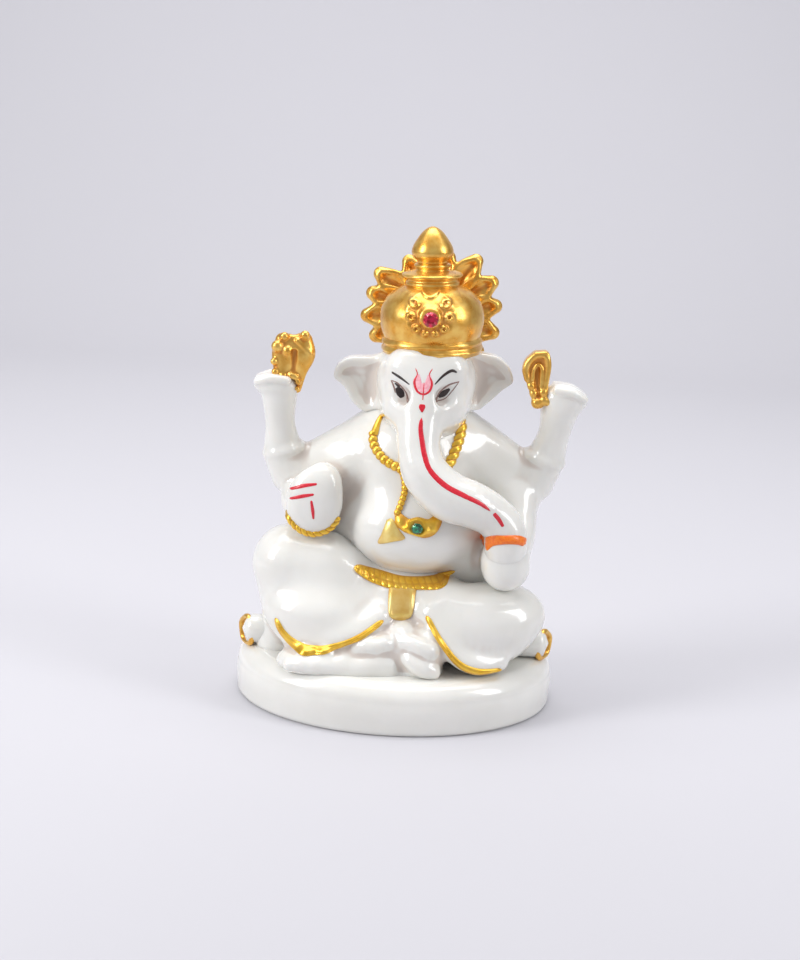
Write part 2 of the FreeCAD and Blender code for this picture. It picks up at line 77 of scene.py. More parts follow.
def seat(x, y, z):
    """A point z above the top of the plinth."""
    return np.array([x, y, SEAT + z])


def brow(x, y, z):
    """A point beside the middle of the crown's foot, which is where the brow is."""
    return np.array([CROWN_X + x, CROWN_Y + y, CROWN_FOOT + z])


# ---------------------------------------------------------------- skins

class Skin:
    """Points in mm and arrays of faces between them. Two skins add up to one."""

    def __init__(self, points, faces):
        self.points = np.asarray(points, dtype=float)
        self.faces = faces

    def __add__(self, other):
        shift = len(self.points)
        points = np.vstack([self.points, other.points])
        return Skin(points, self.faces + [face + shift for face in other.faces])

    def moved(self, offset):
        """The same skin shifted by an offset."""
        return Skin(self.points + np.asarray(offset), self.faces)

    def outward(self):
        """The same closed skin with its faces turned so that the volume inside is positive."""
        volume = 0.0
        for face in self.faces:
            for second in range(1, face.shape[1] - 1):
                a, b, c = (self.points[face[:, i]] for i in (0, second, second + 1))
                volume += np.einsum("ij,ij->", a, np.cross(b, c))
        faces = self.faces if volume > 0 else [face[:, ::-1] for face in self.faces]
        return Skin(self.points, faces)


def lattice(rows, columns, wrap_rows=False, wrap_columns=True):
    """Quads of a grid of rows x columns points, closed round where asked."""
    row = np.arange(rows if wrap_rows else rows - 1)
    column = np.arange(columns if wrap_columns else columns - 1)
    row, column = np.meshgrid(row, column, indexing="ij")
    next_row, next_column = (row + 1) % rows, (column + 1) % columns
    corners = [row * columns + column, row * columns + next_column,
               next_row * columns + next_column, next_row * columns + column]
    return np.stack([corner.ravel() for corner in corners], axis=1)


def capped(rings):
    """Skin over a stack of rings (n, m, 3), closed at each end by a fan to the ring's middle."""
    count, sides = rings.shape[:2]
    points = np.vstack([rings.reshape(-1, 3), rings[0].mean(0), rings[-1].mean(0)])
    side = np.arange(sides)
    after = (side + 1) % sides
    last = (count - 1) * sides
    start_pole = np.full(sides, count * sides)
    first_fan = np.stack([start_pole, after, side], axis=1)
    last_fan = np.stack([start_pole + 1, last + side, last + after], axis=1)
    return Skin(points, [lattice(count, sides), first_fan, last_fan]).outward()


def smooth_line(points, count):
    """Count points on a Catmull-Rom curve through the given points, evenly spaced by length.

    Each stretch is a cubic whose slope at a point is half the step between its neighbours.
    """
    points = np.asarray(points, dtype=float)
    padded = np.vstack([2 * points[0] - points[1], points, 2 * points[-1] - points[-2]])
    t = np.linspace(0, len(points) - 1, 24 * len(points))
    index = np.minimum(t.astype(int), len(points) - 2)
    t = (t - index)[:, None]
    a, b, c, d = (padded[index + offset] for offset in range(4))
    curve = 0.5 * (2 * b + (c - a) * t + (2 * a - 5 * b + 4 * c - d) * t ** 2
                   + (3 * b - a - 3 * c + d) * t ** 3)
    travelled = np.append(0, np.cumsum(np.linalg.norm(np.diff(curve[:, :3], axis=0), axis=1)))
    even = np.linspace(0, travelled[-1], count)
    return np.stack([np.interp(even, travelled, curve[:, axis])
                     for axis in range(points.shape[1])], axis=1)


def frames(line, up):
    """Tangent, side and upward unit vectors along a line, with up as the rough upward one."""
    tangent = np.gradient(line, axis=0)
    tangent /= np.linalg.norm(tangent, axis=1)[:, None]
    side = np.cross(tangent, up)
    side /= np.linalg.norm(side, axis=1)[:, None]
    return tangent, side, np.cross(side, tangent)


def carried(line, radius, up, sides=16):
    """Bar along a line: at each of its points a ring, radius times the cosine of the angle
    sideways and the sine upwards. Radius is an array (n, sides) or (n, 1)."""
    _, side, rise = frames(line, np.asarray(up, dtype=float))
    angle = np.linspace(0, 2 * np.pi, sides, endpoint=False)
    radius = np.broadcast_to(radius, (len(line), sides))
    across = (radius * np.cos(angle))[..., None] * side[:, None]
    upward = (radius * np.sin(angle))[..., None] * rise[:, None]
    return capped(line[:, None] + across + upward)


def rounded_ends(count, share=0.12):
    """Factor along a bar that rises from 0 like a quarter circle over each end's share."""
    t = np.linspace(0, 1, count)
    near_end = np.clip(np.minimum(t, 1 - t) / share, 0, 1)
    return np.sqrt(np.maximum(1 - (1 - near_end) ** 2, 1e-4))[:, None]


# ---------------------------------------------------------------- clay

class Clay:
    """Signed distance on a grid between two corners, in mm; what is added runs into the rest."""

    def __init__(self, low, high, step):
        self.low = np.asarray(low, dtype=float)
        self.step = step
        counts = np.ceil((np.asarray(high) - self.low) / step).astype(int) + 1
        self.axes = [self.low[i] + step * np.arange(counts[i]) for i in range(3)]
        self.field = np.full(counts, 12.0, dtype=np.float32)

    def block(self, low, high):
        """Slices and coordinates of the part of the grid between two corners."""
        spans = []
        for axis, bottom, top in zip(self.axes, low, high):
            start, stop = np.searchsorted(axis, [bottom, top])
            spans.append(slice(max(start - 1, 0), min(stop + 1, len(axis))))
        x, y, z = (axis[span] for axis, span in zip(self.axes, spans))
        return tuple(spans), (x[:, None, None], y[None, :, None], z[None, None, :])

    def add(self, shape, blend=1.5):
        """Smooth union: the lesser distance, less a quarter of the squared overlap of blend."""
        distance, low, high = shape
        spans, where = self.block(low - blend - 3, high + blend + 3)
        old, new = self.field[spans], distance(*where)
        overlap = np.maximum(blend - np.abs(old - new), 0) / blend
        self.field[spans] = np.minimum(old, new) - overlap ** 2 * blend / 4

    def carve(self, shape, blend=1.0):
        """Smooth cut: the greater of the old distance and the cutter's turned inside out."""
        distance, low, high = shape
        spans, where = self.block(low - blend - 3, high + blend + 3)
        old, new = self.field[spans], -distance(*where)
        overlap = np.maximum(blend - np.abs(old - new), 0) / blend
        self.field[spans] = np.maximum(old, new) + overlap ** 2 * blend / 4

    def sample(self, points, field=None):
        """Field at points, by weighting the eight corners of the cell round each."""
        field = self.field if field is None else field
        place = (np.asarray(points) - self.low) / self.step
        limit = np.array(field.shape) - 2
        cell = np.clip(np.floor(place).astype(int), 0, limit)
        part = np.clip(place - cell, 0, 1)
        total = 0.0
        for corner in np.ndindex(2, 2, 2):
            weight = np.prod(np.where(corner, part, 1 - part), axis=1)
            index = tuple((cell + corner).T)
            total = total + weight * field[index]
        return total

    def slope(self, points):
        """Unit direction in which the distance grows fastest."""
        reach = self.step * 0.75
        steps = [self.sample(points + reach * unit) - self.sample(points - reach * unit)
                 for unit in np.eye(3)]
        slope = np.stack(steps, axis=1)
        return slope / np.maximum(np.linalg.norm(slope, axis=1), 1e-9)[:, None]

    def softened(self, passes):
        """The field averaged with its neighbours along each axis, passes times."""
        soft = self.field.copy()
        for _ in range(passes):
            for axis in range(3):
                soft = (np.roll(soft, 1, axis) + 2 * soft + np.roll(soft, -1, axis)) / 4
        return soft

    def skin(self):
        """Quads over the zero surface, each point moved onto it twice along the slope."""
        grid = openvdb.FloatGrid(12.0)
        grid.copyFromArray(self.field)
        points, quads = grid.convertToQuads()
        points = points * self.step + self.low
        for _ in range(2):
            points = points - self.sample(points)[:, None] * self.slope(points)
        return Skin(points, [quads.astype(int)]).outward()

    def front(self, x, z):
        """Depth y of the first surface met at each (x, z), going towards +Y."""
        x, z = np.atleast_1d(x), np.atleast_1d(z)
        depths = self.axes[1]
        points = np.stack([np.repeat(x, len(depths)), np.tile(depths, len(x)),
                           np.repeat(z, len(depths))], axis=1)
        inside_box = (np.abs(x - np.clip(x, self.axes[0][0], self.axes[0][-1])) < 1e-6)
        inside_box &= (np.abs(z - np.clip(z, self.axes[2][0], self.axes[2][-1])) < 1e-6)
        column = self.sample(points).reshape(len(x), -1)
        solid = (column < 0) & inside_box[:, None]
        first = np.maximum(solid.argmax(axis=1), 1)
        row = np.arange(len(x))
        outer, inner = column[row, first - 1], column[row, first]
        depth = depths[first] - self.step * inner / np.minimum(inner - outer, -1e-6)
        return np.where(solid.any(axis=1), depth, np.inf)


def ball(centre, sizes, turn=None):
    """Ellipsoid: k (k - 1) / g, where k is the scaled radius and g that of the slope."""
    centre, sizes = np.asarray(centre, dtype=float), np.asarray(sizes, dtype=float)
    if turn is None:
        turn = np.eye(3)

    def distance(x, y, z):
        x, y, z = x - centre[0], y - centre[1], z - centre[2]
        local = [turn[0, i] * x + turn[1, i] * y + turn[2, i] * z for i in range(3)]
        scaled = sum((part / size) ** 2 for part, size in zip(local, sizes))
        steep = sum((part / size ** 2) ** 2 for part, size in zip(local, sizes))
        k = np.sqrt(scaled)
        return k * (k - 1) / np.maximum(np.sqrt(steep), 1e-6)

    reach = sizes if np.allclose(turn, np.eye(3)) else np.full(3, sizes.max())
    return distance, centre - reach, centre + reach


def roll(points, radii, count=18, squash=(1.0, 1.0, 1.0)):
    """Bent roll: least distance to the stretches of a smooth line, less the radius there."""
    stations = np.column_stack([np.asarray(points, dtype=float), radii])
    line = smooth_line(stations, count)
    squash = np.asarray(squash)

    def distance(x, y, z):
        least = None
        for start, end in zip(line[:-1], line[1:]):
            step = (end - start)[:3] / squash
            apart = [(value - start[i]) / squash[i] for i, value in enumerate((x, y, z))]
            along = sum(part * step[i] for i, part in enumerate(apart)) / (step @ step)
            along = np.clip(along, 0, 1)
            away = sum((part - along * step[i]) ** 2 for i, part in enumerate(apart))
            here = np.sqrt(away) - (start[3] + along * (end[3] - start[3]))
            least = here if least is None else np.minimum(least, here)
        return least * squash.min()

    thick = line[:, 3].max() * squash
    return distance, line[:, :3].min(0) - thick, line[:, :3].max(0) + thick


def turn_about(axis, degrees):
    """Rotation matrix as an array; its columns are the turned piece's own axes."""
    return np.array(Matrix.Rotation(math.radians(degrees), 3, axis))


# ---------------------------------------------------------------- materials

class Value:
    """One output of a shader graph. Arithmetic on it adds the nodes for that arithmetic."""

    def __init__(self, graph, socket):
        self.graph = graph
        self.socket = socket

    def _math(self, operation, *inputs):
        return self.graph.node("ShaderNodeMath", {"operation": operation}, *inputs)

    def __add__(self, other):
        return self._math("ADD", self, other)

    __radd__ = __add__

    def __sub__(self, other):
        return self._math("SUBTRACT", self, other)

    def __rsub__(self, other):
        return self._math("SUBTRACT", other, self)

    def __mul__(self, other):
        return self._math("MULTIPLY", self, other)

    __rmul__ = __mul__

    def between(self, low, high):
        """0 under low, 1 over high, and a smooth step in between."""
        settings = {"interpolation_type": "SMOOTHSTEP"}
        return self.graph.node("ShaderNodeMapRange", settings, self, low, high, 0.0, 1.0)


class Finish:
    """A material whose nodes are laid out by expressions."""

    def __init__(self, name, **constants):
        self.material = bpy.data.materials.new(name)
        self.material.use_nodes = True
        self.tree = self.material.node_tree
        self.shader = self.tree.nodes["Principled BSDF"]
        for socket, value in constants.items():
            self.shader.inputs[socket.replace("_", " ")].default_value = value

    def node(self, kind, settings, *values, output=0, **named):
        """A node of that kind: settings first, then its sockets by place or by name."""
        made = self.tree.nodes.new(kind)
        for setting, value in settings.items():
            setattr(made, setting, value)
        pairs = list(zip(made.inputs, values))
        pairs += [(made.inputs[name.replace("_", " ")], value) for name, value in named.items()]
        for socket, value in pairs:
            if isinstance(value, Value):
                self.tree.links.new(value.socket, socket)
            else:
                socket.default_value = value
        return Value(self, made.outputs[output])

    def place(self):
        """The point being shaded, in the piece's own coordinates, in metres."""
        return self.node("ShaderNodeTexCoord", {}, output=3)

    def attribute(self, name):
        """A number stored on the mesh's points."""
        return self.node("ShaderNodeAttribute", {"attribute_name": name}, output=2)

    def noise(self, per_metre, detail=3.0):
        """Cloudy values round a half, with so many waves to the metre."""
        return self.node("ShaderNodeTexNoise", {}, Vector=self.place(), Scale=per_metre,
                         Detail=detail, Roughness=0.55)

    def mix(self, share, first, second):
        """Colour that goes from first to second as share goes from 0 to 1."""
        made = self.tree.nodes.new("ShaderNodeMix")
        made.data_type = "RGBA"
        for socket, value in zip((made.inputs[0], made.inputs[6], made.inputs[7]),
                                 (share, first, second)):
            if isinstance(value, Value):
                self.tree.links.new(value.socket, socket)
            else:
                socket.default_value = value
        return Value(self, made.outputs[2])

    def bump(self, height, distance, strength):
        """Normal tilted by the slope of a height, which stands for distance in metres."""
        return self.node("ShaderNodeBump", {}, Strength=strength, Distance=distance,
                         Height=height)

    def feed(self, **sockets):
        """Link each value to the shader's socket of that name, and give the material."""
        for name, value in sockets.items():
            self.tree.links.new(value.socket, self.shader.inputs[name.replace("_", " ")])
        return self.material


def rgb(red, green, blue):
    """Linear colour from screen values between 0 and 255."""
    linear = [((value / 255 + 0.055) / 1.055) ** 2.4 for value in (red, green, blue)]
    return (*linear, 1.0)


def white_resin():
    """Marble-white cast resin under clear gloss, with shade painted warmer and darker down into
    its creases.
    """
    made = Finish("white_resin", Subsurface_Weight=0.3, Subsurface_Radius=(1.0, 0.86, 0.74),
                  Subsurface_Scale=0.0022, IOR=1.5, Coat_Weight=0.8, Coat_Roughness=0.04)
    # Painted shade: crease_shade mixes the white towards a darker warm tone in creases and
    # hollows.
    crease_shade = made.attribute("crease_shade").between(0.14, 0.9)
    cloud = made.noise(70).between(0.35, 0.7)
    body = made.mix(cloud, rgb(232, 231, 225), rgb(237, 236, 231))
    colour = made.mix(crease_shade * 0.6, body, rgb(206, 190, 178))
    waves = made.noise(160, 2.0) * 0.6 + made.noise(900, 2.0) * 0.08
    return made.feed(Base_Color=colour,
                     Roughness=0.2 + made.noise(260) * 0.06,
                     Normal=made.bump(waves, 0.0005, 0.16))


def gold_paint(name, deep, light, metal):
    """Gold paint: its own lighter colour on what stands proud, and shade painted orange brown down
    in the relief.
    """
    made = Finish(name, IOR=1.6, Coat_Weight=0.3, Coat_Roughness=0.12)
    # Painted shade: crease_shade turns the gold orange brown, less metallic and rougher in the
    # relief.
    crease_shade = made.attribute("crease_shade").between(0.1, 0.9)
    worn = made.noise(300, 4.0).between(0.3, 0.75)
    colour = made.mix(crease_shade * 0.8, made.mix(worn, deep, light), rgb(192, 116, 30))
    grain = made.noise(1500, 3.0) * 0.3 + made.noise(500, 2.0)
    return made.feed(Base_Color=colour,
                     Metallic=metal - crease_shade * 0.2,
                     Roughness=0.27 + worn * 0.07 + crease_shade * 0.12,
                     Normal=made.bump(grain, 0.0002, 0.24))


def brushed_paint(name, deep, light, roughness=0.3):
    """Thick hand-brushed colour with darker and lighter streaks."""
    made = Finish(name, IOR=1.5, Coat_Weight=0.25, Coat_Roughness=0.15)
    streak = made.noise(1500, 3.0).between(0.3, 0.7)
    return made.feed(Base_Color=made.mix(streak, deep, light),
                     Roughness=roughness + made.noise(900) * 0.1,
                     Normal=made.bump(made.noise(2200), 0.0001, 0.3))


def cut_stone(name, deep, light):
    """Faceted glass over a foil back, brighter where its depth varies."""
    made = Finish(name, IOR=1.58, Coat_Weight=1.0, Coat_Roughness=0.02)
    depth = made.noise(1100, 1.0).between(0.38, 0.62)
    return made.feed(Base_Color=made.mix(depth, deep, light),
                     Metallic=0.35 + depth * 0.3,
                     Roughness=0.08 + made.noise(500) * 0.06)


RESIN = white_resin()
GOLD = gold_paint("crown_gold", rgb(228, 166, 62), rgb(248, 206, 110), 0.8)
PALE_GOLD = gold_paint("pale_gold", rgb(232, 196, 96), rgb(246, 222, 140), 0.4)
TRIM_GOLD = gold_paint("trim_gold", rgb(242, 188, 48), rgb(254, 212, 84), 0.72)
RED_PAINT = brushed_paint("red_paint", rgb(205, 22, 44), rgb(226, 40, 58))
PINK_PAINT = brushed_paint("pink_paint", rgb(240, 158, 172), rgb(248, 192, 200), 0.4)
ORANGE_PAINT = brushed_paint("orange_paint", rgb(240, 104, 14), rgb(250, 136, 34))
DARK_PAINT = brushed_paint("dark_paint", rgb(34, 24, 22), rgb(56, 42, 38))
BROWN_PAINT = brushed_paint("brown_paint", rgb(120, 92, 84), rgb(152, 120, 110), 0.4)
RED_STONE = cut_stone("red_stone", rgb(150, 4, 34), rgb(236, 40, 84))
GREEN_STONE = cut_stone("green_stone", rgb(4, 74, 50), rgb(40, 150, 108))


def piece(name, skin, material, slot, *nodes, crease_shade=None):
    """Blender object of a skin, riding on the casting and standing for the nodes."""
    mesh = bpy.data.meshes.new(name)
    sizes = np.concatenate([np.full(len(face), face.shape[1]) for face in skin.faces])
    corners = np.concatenate([face.ravel() for face in skin.faces])
    mesh.vertices.add(len(skin.points))
    mesh.vertices.foreach_set("co", (skin.points * MM).astype(np.float32).ravel())
    mesh.loops.add(len(corners))
    mesh.loops.foreach_set("vertex_index", corners.astype(np.int32))
    mesh.polygons.add(len(sizes))
    starts = np.concatenate([[0], np.cumsum(sizes)[:-1]])
    mesh.polygons.foreach_set("loop_start", starts.astype(np.int32))
    mesh.polygons.foreach_set("use_smooth", np.ones(len(sizes), dtype=bool))
    mesh.update(calc_edges=True)
    mesh.validate()
    # Painted shade: crease_shade is stored as a point attribute, 0 where no shade is painted.
    depth = np.zeros(len(skin.points)) if crease_shade is None else crease_shade
    layer = mesh.attributes.new("crease_shade", "FLOAT", "POINT")
    layer.data.foreach_set("value", depth.astype(np.float32))
    mesh.materials.append(material)
    made = bpy.data.objects.new(name, mesh)
    bpy.context.scene.collection.objects.link(made)
    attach(made, "root")
    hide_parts(*nodes)
    return made


def clay_piece(name, clay, material, slot, *nodes, passes=8, shade_gain=4.0):
    """Skin of a clay form. Its crease shade, painted shade for creases and hollows, is how far the
    softened field drops below the surface.
    """
    skin = clay.skin()
    crease_shade = np.clip(-clay.sample(skin.points, clay.softened(passes)) * shade_gain / clay.step, 0, 1)
    return piece(name, skin, material, slot, *nodes, crease_shade=crease_shade)


# ---------------------------------------------------------------- white masses

def plinth():
    """Oval block turned in rings: each ring is an oval, drawn in at the foot, full at
    mid height and rolled over at the top edge, where a shallow flat carries the figure.

    Inset is how far a ring stays inside the full oval, and level is its height. A slow
    wave round the oval, stronger towards the rim, keeps the hand-finished look.
    """
    low, high = (np.array(corner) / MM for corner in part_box("plinth"))
    reach_x, reach_y = half("plinth")[:2]
    height = high[2] - low[2]
    foot_inset, foot_curve, foot_rise = 1.5, 1.1, 1.4
    edge_inset, edge_run, edge_drop, flat_inset = 0.4, 5.2, 5.0, 5.6
    under, foot, edge = 16, np.linspace(0, np.pi / 2, 10), np.linspace(0, np.pi / 2, 20)
    flat = np.linspace(0, 1, 24)[1:-1]
    inset = np.concatenate([np.linspace(reach_y - 0.5, foot_inset, under, endpoint=False),
                            foot_inset - foot_curve * np.sin(foot), [0.25, 0.0, 0.25],
                            edge_inset + edge_run * (1 - np.cos(edge)),
                            flat_inset + (reach_y - flat_inset) * flat])
    level = np.concatenate([np.zeros(under), foot_rise * (1 - np.cos(foot)),
                            [height * 0.3, height * 0.48, height * 0.6],
                            height - edge_drop * (1 - np.sin(edge)),
                            np.full(len(flat), height)])
    angle = np.linspace(0, 2 * np.pi, 180, endpoint=False)
    x = (reach_x - inset * reach_x / reach_y)[:, None] * np.cos(angle)
    y = (reach_y - inset)[:, None] * np.sin(angle)
    even_rim = (reach_x - inset) / (reach_x - inset * reach_x / reach_y)
    x = x * np.where(inset < 6, even_rim, 1.0)[:, None]
    waver = 0.12 * np.sin(3 * angle + 0.6) + 0.08 * np.sin(7 * angle + 2.0)
    z = level[:, None] + np.where(level > 3, 1 - inset / reach_y, 0)[:, None] * waver
    skin = capped(np.stack([x, y, np.minimum(z, height + 0.1)], axis=2))
    piece("plinth_block", skin, RESIN, "white_resin", "plinth")


def legs():
    """Hips, the raised right knee with its draped shin, and the folded left leg."""
    clay = Clay(seat(-44, -33, -1.5), seat(46, 20, 38), step=0.48)
    clay.add(ball(seat(1, -0.5, 13.5), (21, 17, 14)))
    clay.add(ball(seat(-2, -10, 15.0), (13, 8.5, 6.5)), 3)
    # figure's right leg: knee ball, thigh to the hips, drape over the shin, prop below
    clay.add(roll([seat(-29.8, -6.2, 24.4), seat(-20, -6.5, 22.5), seat(-8, -3, 16)],
                  [10.9, 11.0, 10.5]), 3)
    clay.add(ball(seat(-20.8, -10.5, 12.8), (16.2, 13.6, 9.8), turn_about("Y", 4)), 5)
    clay.add(roll([seat(-31.4, -6, 18), seat(-32.4, -5, 8), seat(-33, -5, 1)],
                  [6.0, 5.2, 6.2]), 4)
    clay.add(roll([seat(-32.6, -13.0, 12.0), seat(-30.2, -16.6, 8.6), seat(-26.2, -20.0, 6.4),
                   seat(-19.5, -22.4, 6.6), seat(-11.5, -22.6, 9.4), seat(-4.4, -20.0, 13.8)],
                  [1.8, 2.3, 2.6, 2.7, 2.5, 2.0]), 5)
    # figure's left leg: a long egg with the knee outwards, drape below
    clay.add(ball(seat(27.6, -9.5, 12.9), (13.6, 11.0, 9.4), turn_about("Y", -4)), 3)
    clay.add(roll([seat(14.5, -13.5, 14.0), seat(20.5, -14.6, 11.6), seat(27.5, -12.8, 9.8)],
                  [8.8, 10.2, 9.0]), 5)
    clay.add(roll([seat(9.4, -19.0, 15.2), seat(12.4, -22.4, 10.4), seat(17.0, -24.6, 5.4),
                   seat(22.4, -24.4, 3.2), seat(28.6, -21.4, 3.0)],
                  [1.8, 2.2, 2.4, 2.4, 1.8]), 5)
    # feet run into one another and into the plinth, with toes and anklets as low bumps
    for x, y, z, size_x, size_y, size_z in [(-5.4, -20.6, 4.6, 6.6, 6.2, 7.2),
                                            (2.0, -20.6, 6.4, 5.2, 5.6, 6.8),
                                            (8.4, -22.4, 4.8, 5.0, 5.6, 7.2),
                                            (-20.0, -21.6, 1.6, 12.0, 6.6, 4.4),
                                            (-12.5, -22.4, 1.6, 6.0, 5.4, 4.6)]:
        clay.add(ball(seat(x, y, z), (size_x, size_y, size_z)), 2.6)
    for x, y, z, size in [
            (-11.6, -26.0, 1.4, 1.7), (-9.0, -26.6, 2.0, 1.8), (-6.4, -26.6, 2.6, 1.8),
            (-3.8, -26.2, 2.8, 1.7), (-1.4, -25.4, 2.4, 1.6), (4.2, -26.6, 4.6, 1.7),
            (6.3, -27.5, 3.4, 1.8), (8.6, -27.7, 2.4, 1.8), (10.8, -26.9, 1.5, 1.6),
            (-9.8, -24.4, 6.6, 1.3), (-7.6, -25.6, 7.8, 1.4), (-5.0, -26.0, 8.0, 1.4),
            (-2.6, -25.2, 8.6, 1.3), (3.2, -25.0, 9.4, 1.3), (5.2, -26.2, 9.2, 1.4),
            (7.4, -27.0, 8.6, 1.4), (9.6, -27.0, 7.6, 1.3), (-28.0, -26.4, 1.6, 1.7),
            (-24.8, -27.2, 2.0, 1.9), (-21.2, -27.6, 2.2, 1.9), (-17.8, -27.4, 2.2, 1.8),
            (-14.8, -26.8, 2.0, 1.6), (-24.0, -25.0, 4.6, 1.5), (-18.6, -25.6, 5.0, 1.5)]:
        clay.add(ball(seat(x, y, z), (size, size, size)), 2.2)
    clay.add(ball(seat(-7, -17.0, -0.9), (22.0, 10.5, 2.6)), 3.5)
    clay.carve(ball(seat(0, 0, -10.9), (90, 90, 10)), 0.2)
    clay_piece("legs_and_hips", clay, RESIN, "white_resin", "hips", "right_leg", "left_leg",
               "right_foot", "left_foot", "right_toes")
    return clay


def fingers(clay, root, knuckle, tip):
    """Four rolls side by side in Y, through the (x, z) places of root, knuckle and tip."""
    for index in range(4):
        depths = -4.6 + 2.4 * index, -5.2 + 2.5 * index, -4.0 + 2.1 * index
        points = [seat(x, y, z) for (x, z), y in zip((root, knuckle, tip), depths)]
        clay.add(roll(points, [1.2, 1.35, 1.2], 8), 0.7)


def body():
    """Belly, chest, four arms and their hands."""
    clay = Clay(seat(-46, -24, 17), seat(52, 19, 80), step=0.52)
    clay.add(ball(seat(3.5, -3.0, 36.3), (18.8, 16.0, 13.4)))
    clay.add(ball(seat(2.5, -1.0, 52.5), (14.5, 12.0, 14.0)), 7)
    clay.add(ball(seat(2.0, 3.0, 57.5), (17.5, 11.5, 11.5)), 5)
    clay.add(ball(seat(1, 3, 20), (17, 12, 12)), 4)
    # rear right arm and its hand
    clay.add(roll([seat(-8, 5, 58), seat(-19, 4.5, 53.6), seat(-29.5, 3, 48.2)],
                  [8.6, 6.6, 5.9]), 4)
    clay.add(roll([seat(-31.2, 3, 47.5), seat(-33.6, 2.2, 53.5), seat(-34.8, 1, 62),
                   seat(-35.2, 0, 69.6)], [5.9, 5.5, 4.1, 4.8]), 2.5)
    clay.add(ball(seat(-33.7, 2.0, 54.6), (5.8, 5.7, 1.8), turn_about("Y", -14)), 1.6)
    clay.add(ball(seat(-36.2, -0.8, 73.2), (6.2, 4.9, 3.4), turn_about("Y", 3)), 2.0)
    fingers(clay, (-33.0, 75.2), (-37.5, 75.6), (-41.0, 74.4))
    # rear left arm and its hand
    clay.add(roll([seat(12, 5, 61), seat(24, 4.5, 55.6), seat(34.5, 3, 49.5)],
                  [8.8, 6.8, 5.9]), 4)
    clay.add(roll([seat(36.2, 3, 48.8), seat(39.0, 2.2, 55.5), seat(40.9, 1, 63),
                   seat(42.0, 0, 70.6)], [5.9, 5.4, 4.4, 5.4]), 2.5)
    clay.add(ball(seat(38.9, 2.0, 55.6), (5.9, 5.6, 1.8), turn_about("Y", 16)), 1.6)
    clay.add(ball(seat(43.2, -0.6, 73.6), (6.2, 5.0, 3.8), turn_about("Y", 12)), 2.0)
    fingers(clay, (40.5, 76.4), (44.6, 75.8), (48.0, 73.9))
    # front right arm and the open palm
    clay.add(roll([seat(-12, 2, 52), seat(-22, 1.0, 46), seat(-27.5, -2.5, 41.5)],
                  [7.8, 6.4, 5.6]), 3)
    clay.add(roll([seat(-27.5, -2.5, 41.5), seat(-25.2, -7.5, 40.0), seat(-24.2, -9.5, 39.0)],
                  [5.6, 5.2, 5.0]), 2)
    clay.add(ball(seat(-23.9, -11.2, 43.4), (7.7, 4.2, 9.6), turn_about("Y", 6)), 1.2)
    clay.add(ball(seat(-21.6, -9.4, 49.0), (4.6, 3.6, 5.0), turn_about("Y", -14)), 2.5)
    # front left arm and the rounded hand under the trunk
    clay.add(roll([seat(14, 3, 55), seat(24, 2.0, 49), seat(31.0, -0.5, 43.4)],
                  [8.2, 7.0, 6.2]), 3)
    clay.add(roll([seat(31.0, -0.5, 43.4), seat(31.5, -7, 36), seat(29.4, -12.5, 30)],
                  [6.2, 5.6, 5.6]), 2.5)
    clay.add(ball(seat(29.0, -14.2, 28.8), (6.7, 6.7, 6.9)), 1.5)
    clay.add(ball(seat(28.6, -14.2, 32.6), (5.7, 5.8, 6.4)), 2.5)
    # one smooth back from the shoulders to the seat
    clay.add(ball(seat(2.5, 4.0, 38.0), (18.5, 11.5, 22.0)), 7)
    # flanks that close the gaps between belly, hands and thighs
    clay.add(ball(seat(-14.6, 3.5, 34.0), (6.5, 7.0, 12.0)), 7)
    clay.add(ball(seat(20.5, 0.5, 27.0), (8.0, 8.0, 10.0)), 7)
    clay_piece("torso_and_arms", clay, RESIN, "white_resin", "torso", "rear_right_arm",
               "rear_left_arm", "front_right_arm", "front_left_arm", "rear_right_hand",
               "rear_left_hand", "right_palm", "left_hand_with_sweet", "right_armlet",
               "left_armlet")
    return clay


def fan(outline, middle_depth, dish, thickness):
    """Ear as a slab: signed distance to a smooth outline in X and Z, and to a dished
    mid-surface in Y, whose thickness swells to a roll just inside the outline."""
    closed = smooth_line(np.vstack([outline, outline[:1]]), 64)[:-1]

    def distance(x, y, z):
        x2, z2 = x[:, 0, :], z[0, :, :]
        x2, z2 = np.broadcast_arrays(x2, z2)
        nearest = np.full(x2.shape, 1e9)
        inside = np.zeros(x2.shape, dtype=bool)
        for start, end in zip(closed, np.roll(closed, -1, axis=0)):
            step = end - start
            along = ((x2 - start[0]) * step[0] + (z2 - start[1]) * step[1]) / (step @ step)
            along = np.clip(along, 0, 1)
            away = np.hypot(x2 - start[0] - along * step[0], z2 - start[1] - along * step[1])
            nearest = np.minimum(nearest, away)
            crosses = (start[1] > z2) != (end[1] > z2)
            where = start[0] + (z2 - start[1]) * step[0] / (step[1] if step[1] else 1e-9)
            inside ^= crosses & (x2 < where)
        flat = np.where(inside, -nearest, nearest)
        depth = middle_depth + dish * np.clip(-flat / 6, 0, 1) ** 1.2
        thick = thickness * (0.55 + 0.45 * np.exp(-((flat + 1.6) / 1.7) ** 2))
        slab = np.abs(y - depth[:, None, :]) - thick[:, None, :]
        outer = flat[:, None, :] + thickness * 0.6
        corner = np.hypot(np.maximum(outer, 0), np.maximum(slab, 0)) - thickness * 0.2
        return np.minimum(np.maximum(outer, slab), 0) + corner

    low = np.array([closed[:, 0].min(), middle_depth - 4, closed[:, 1].min()])
    high = np.array([closed[:, 0].max(), middle_depth + 6, closed[:, 1].max()])
    return distance, low, high


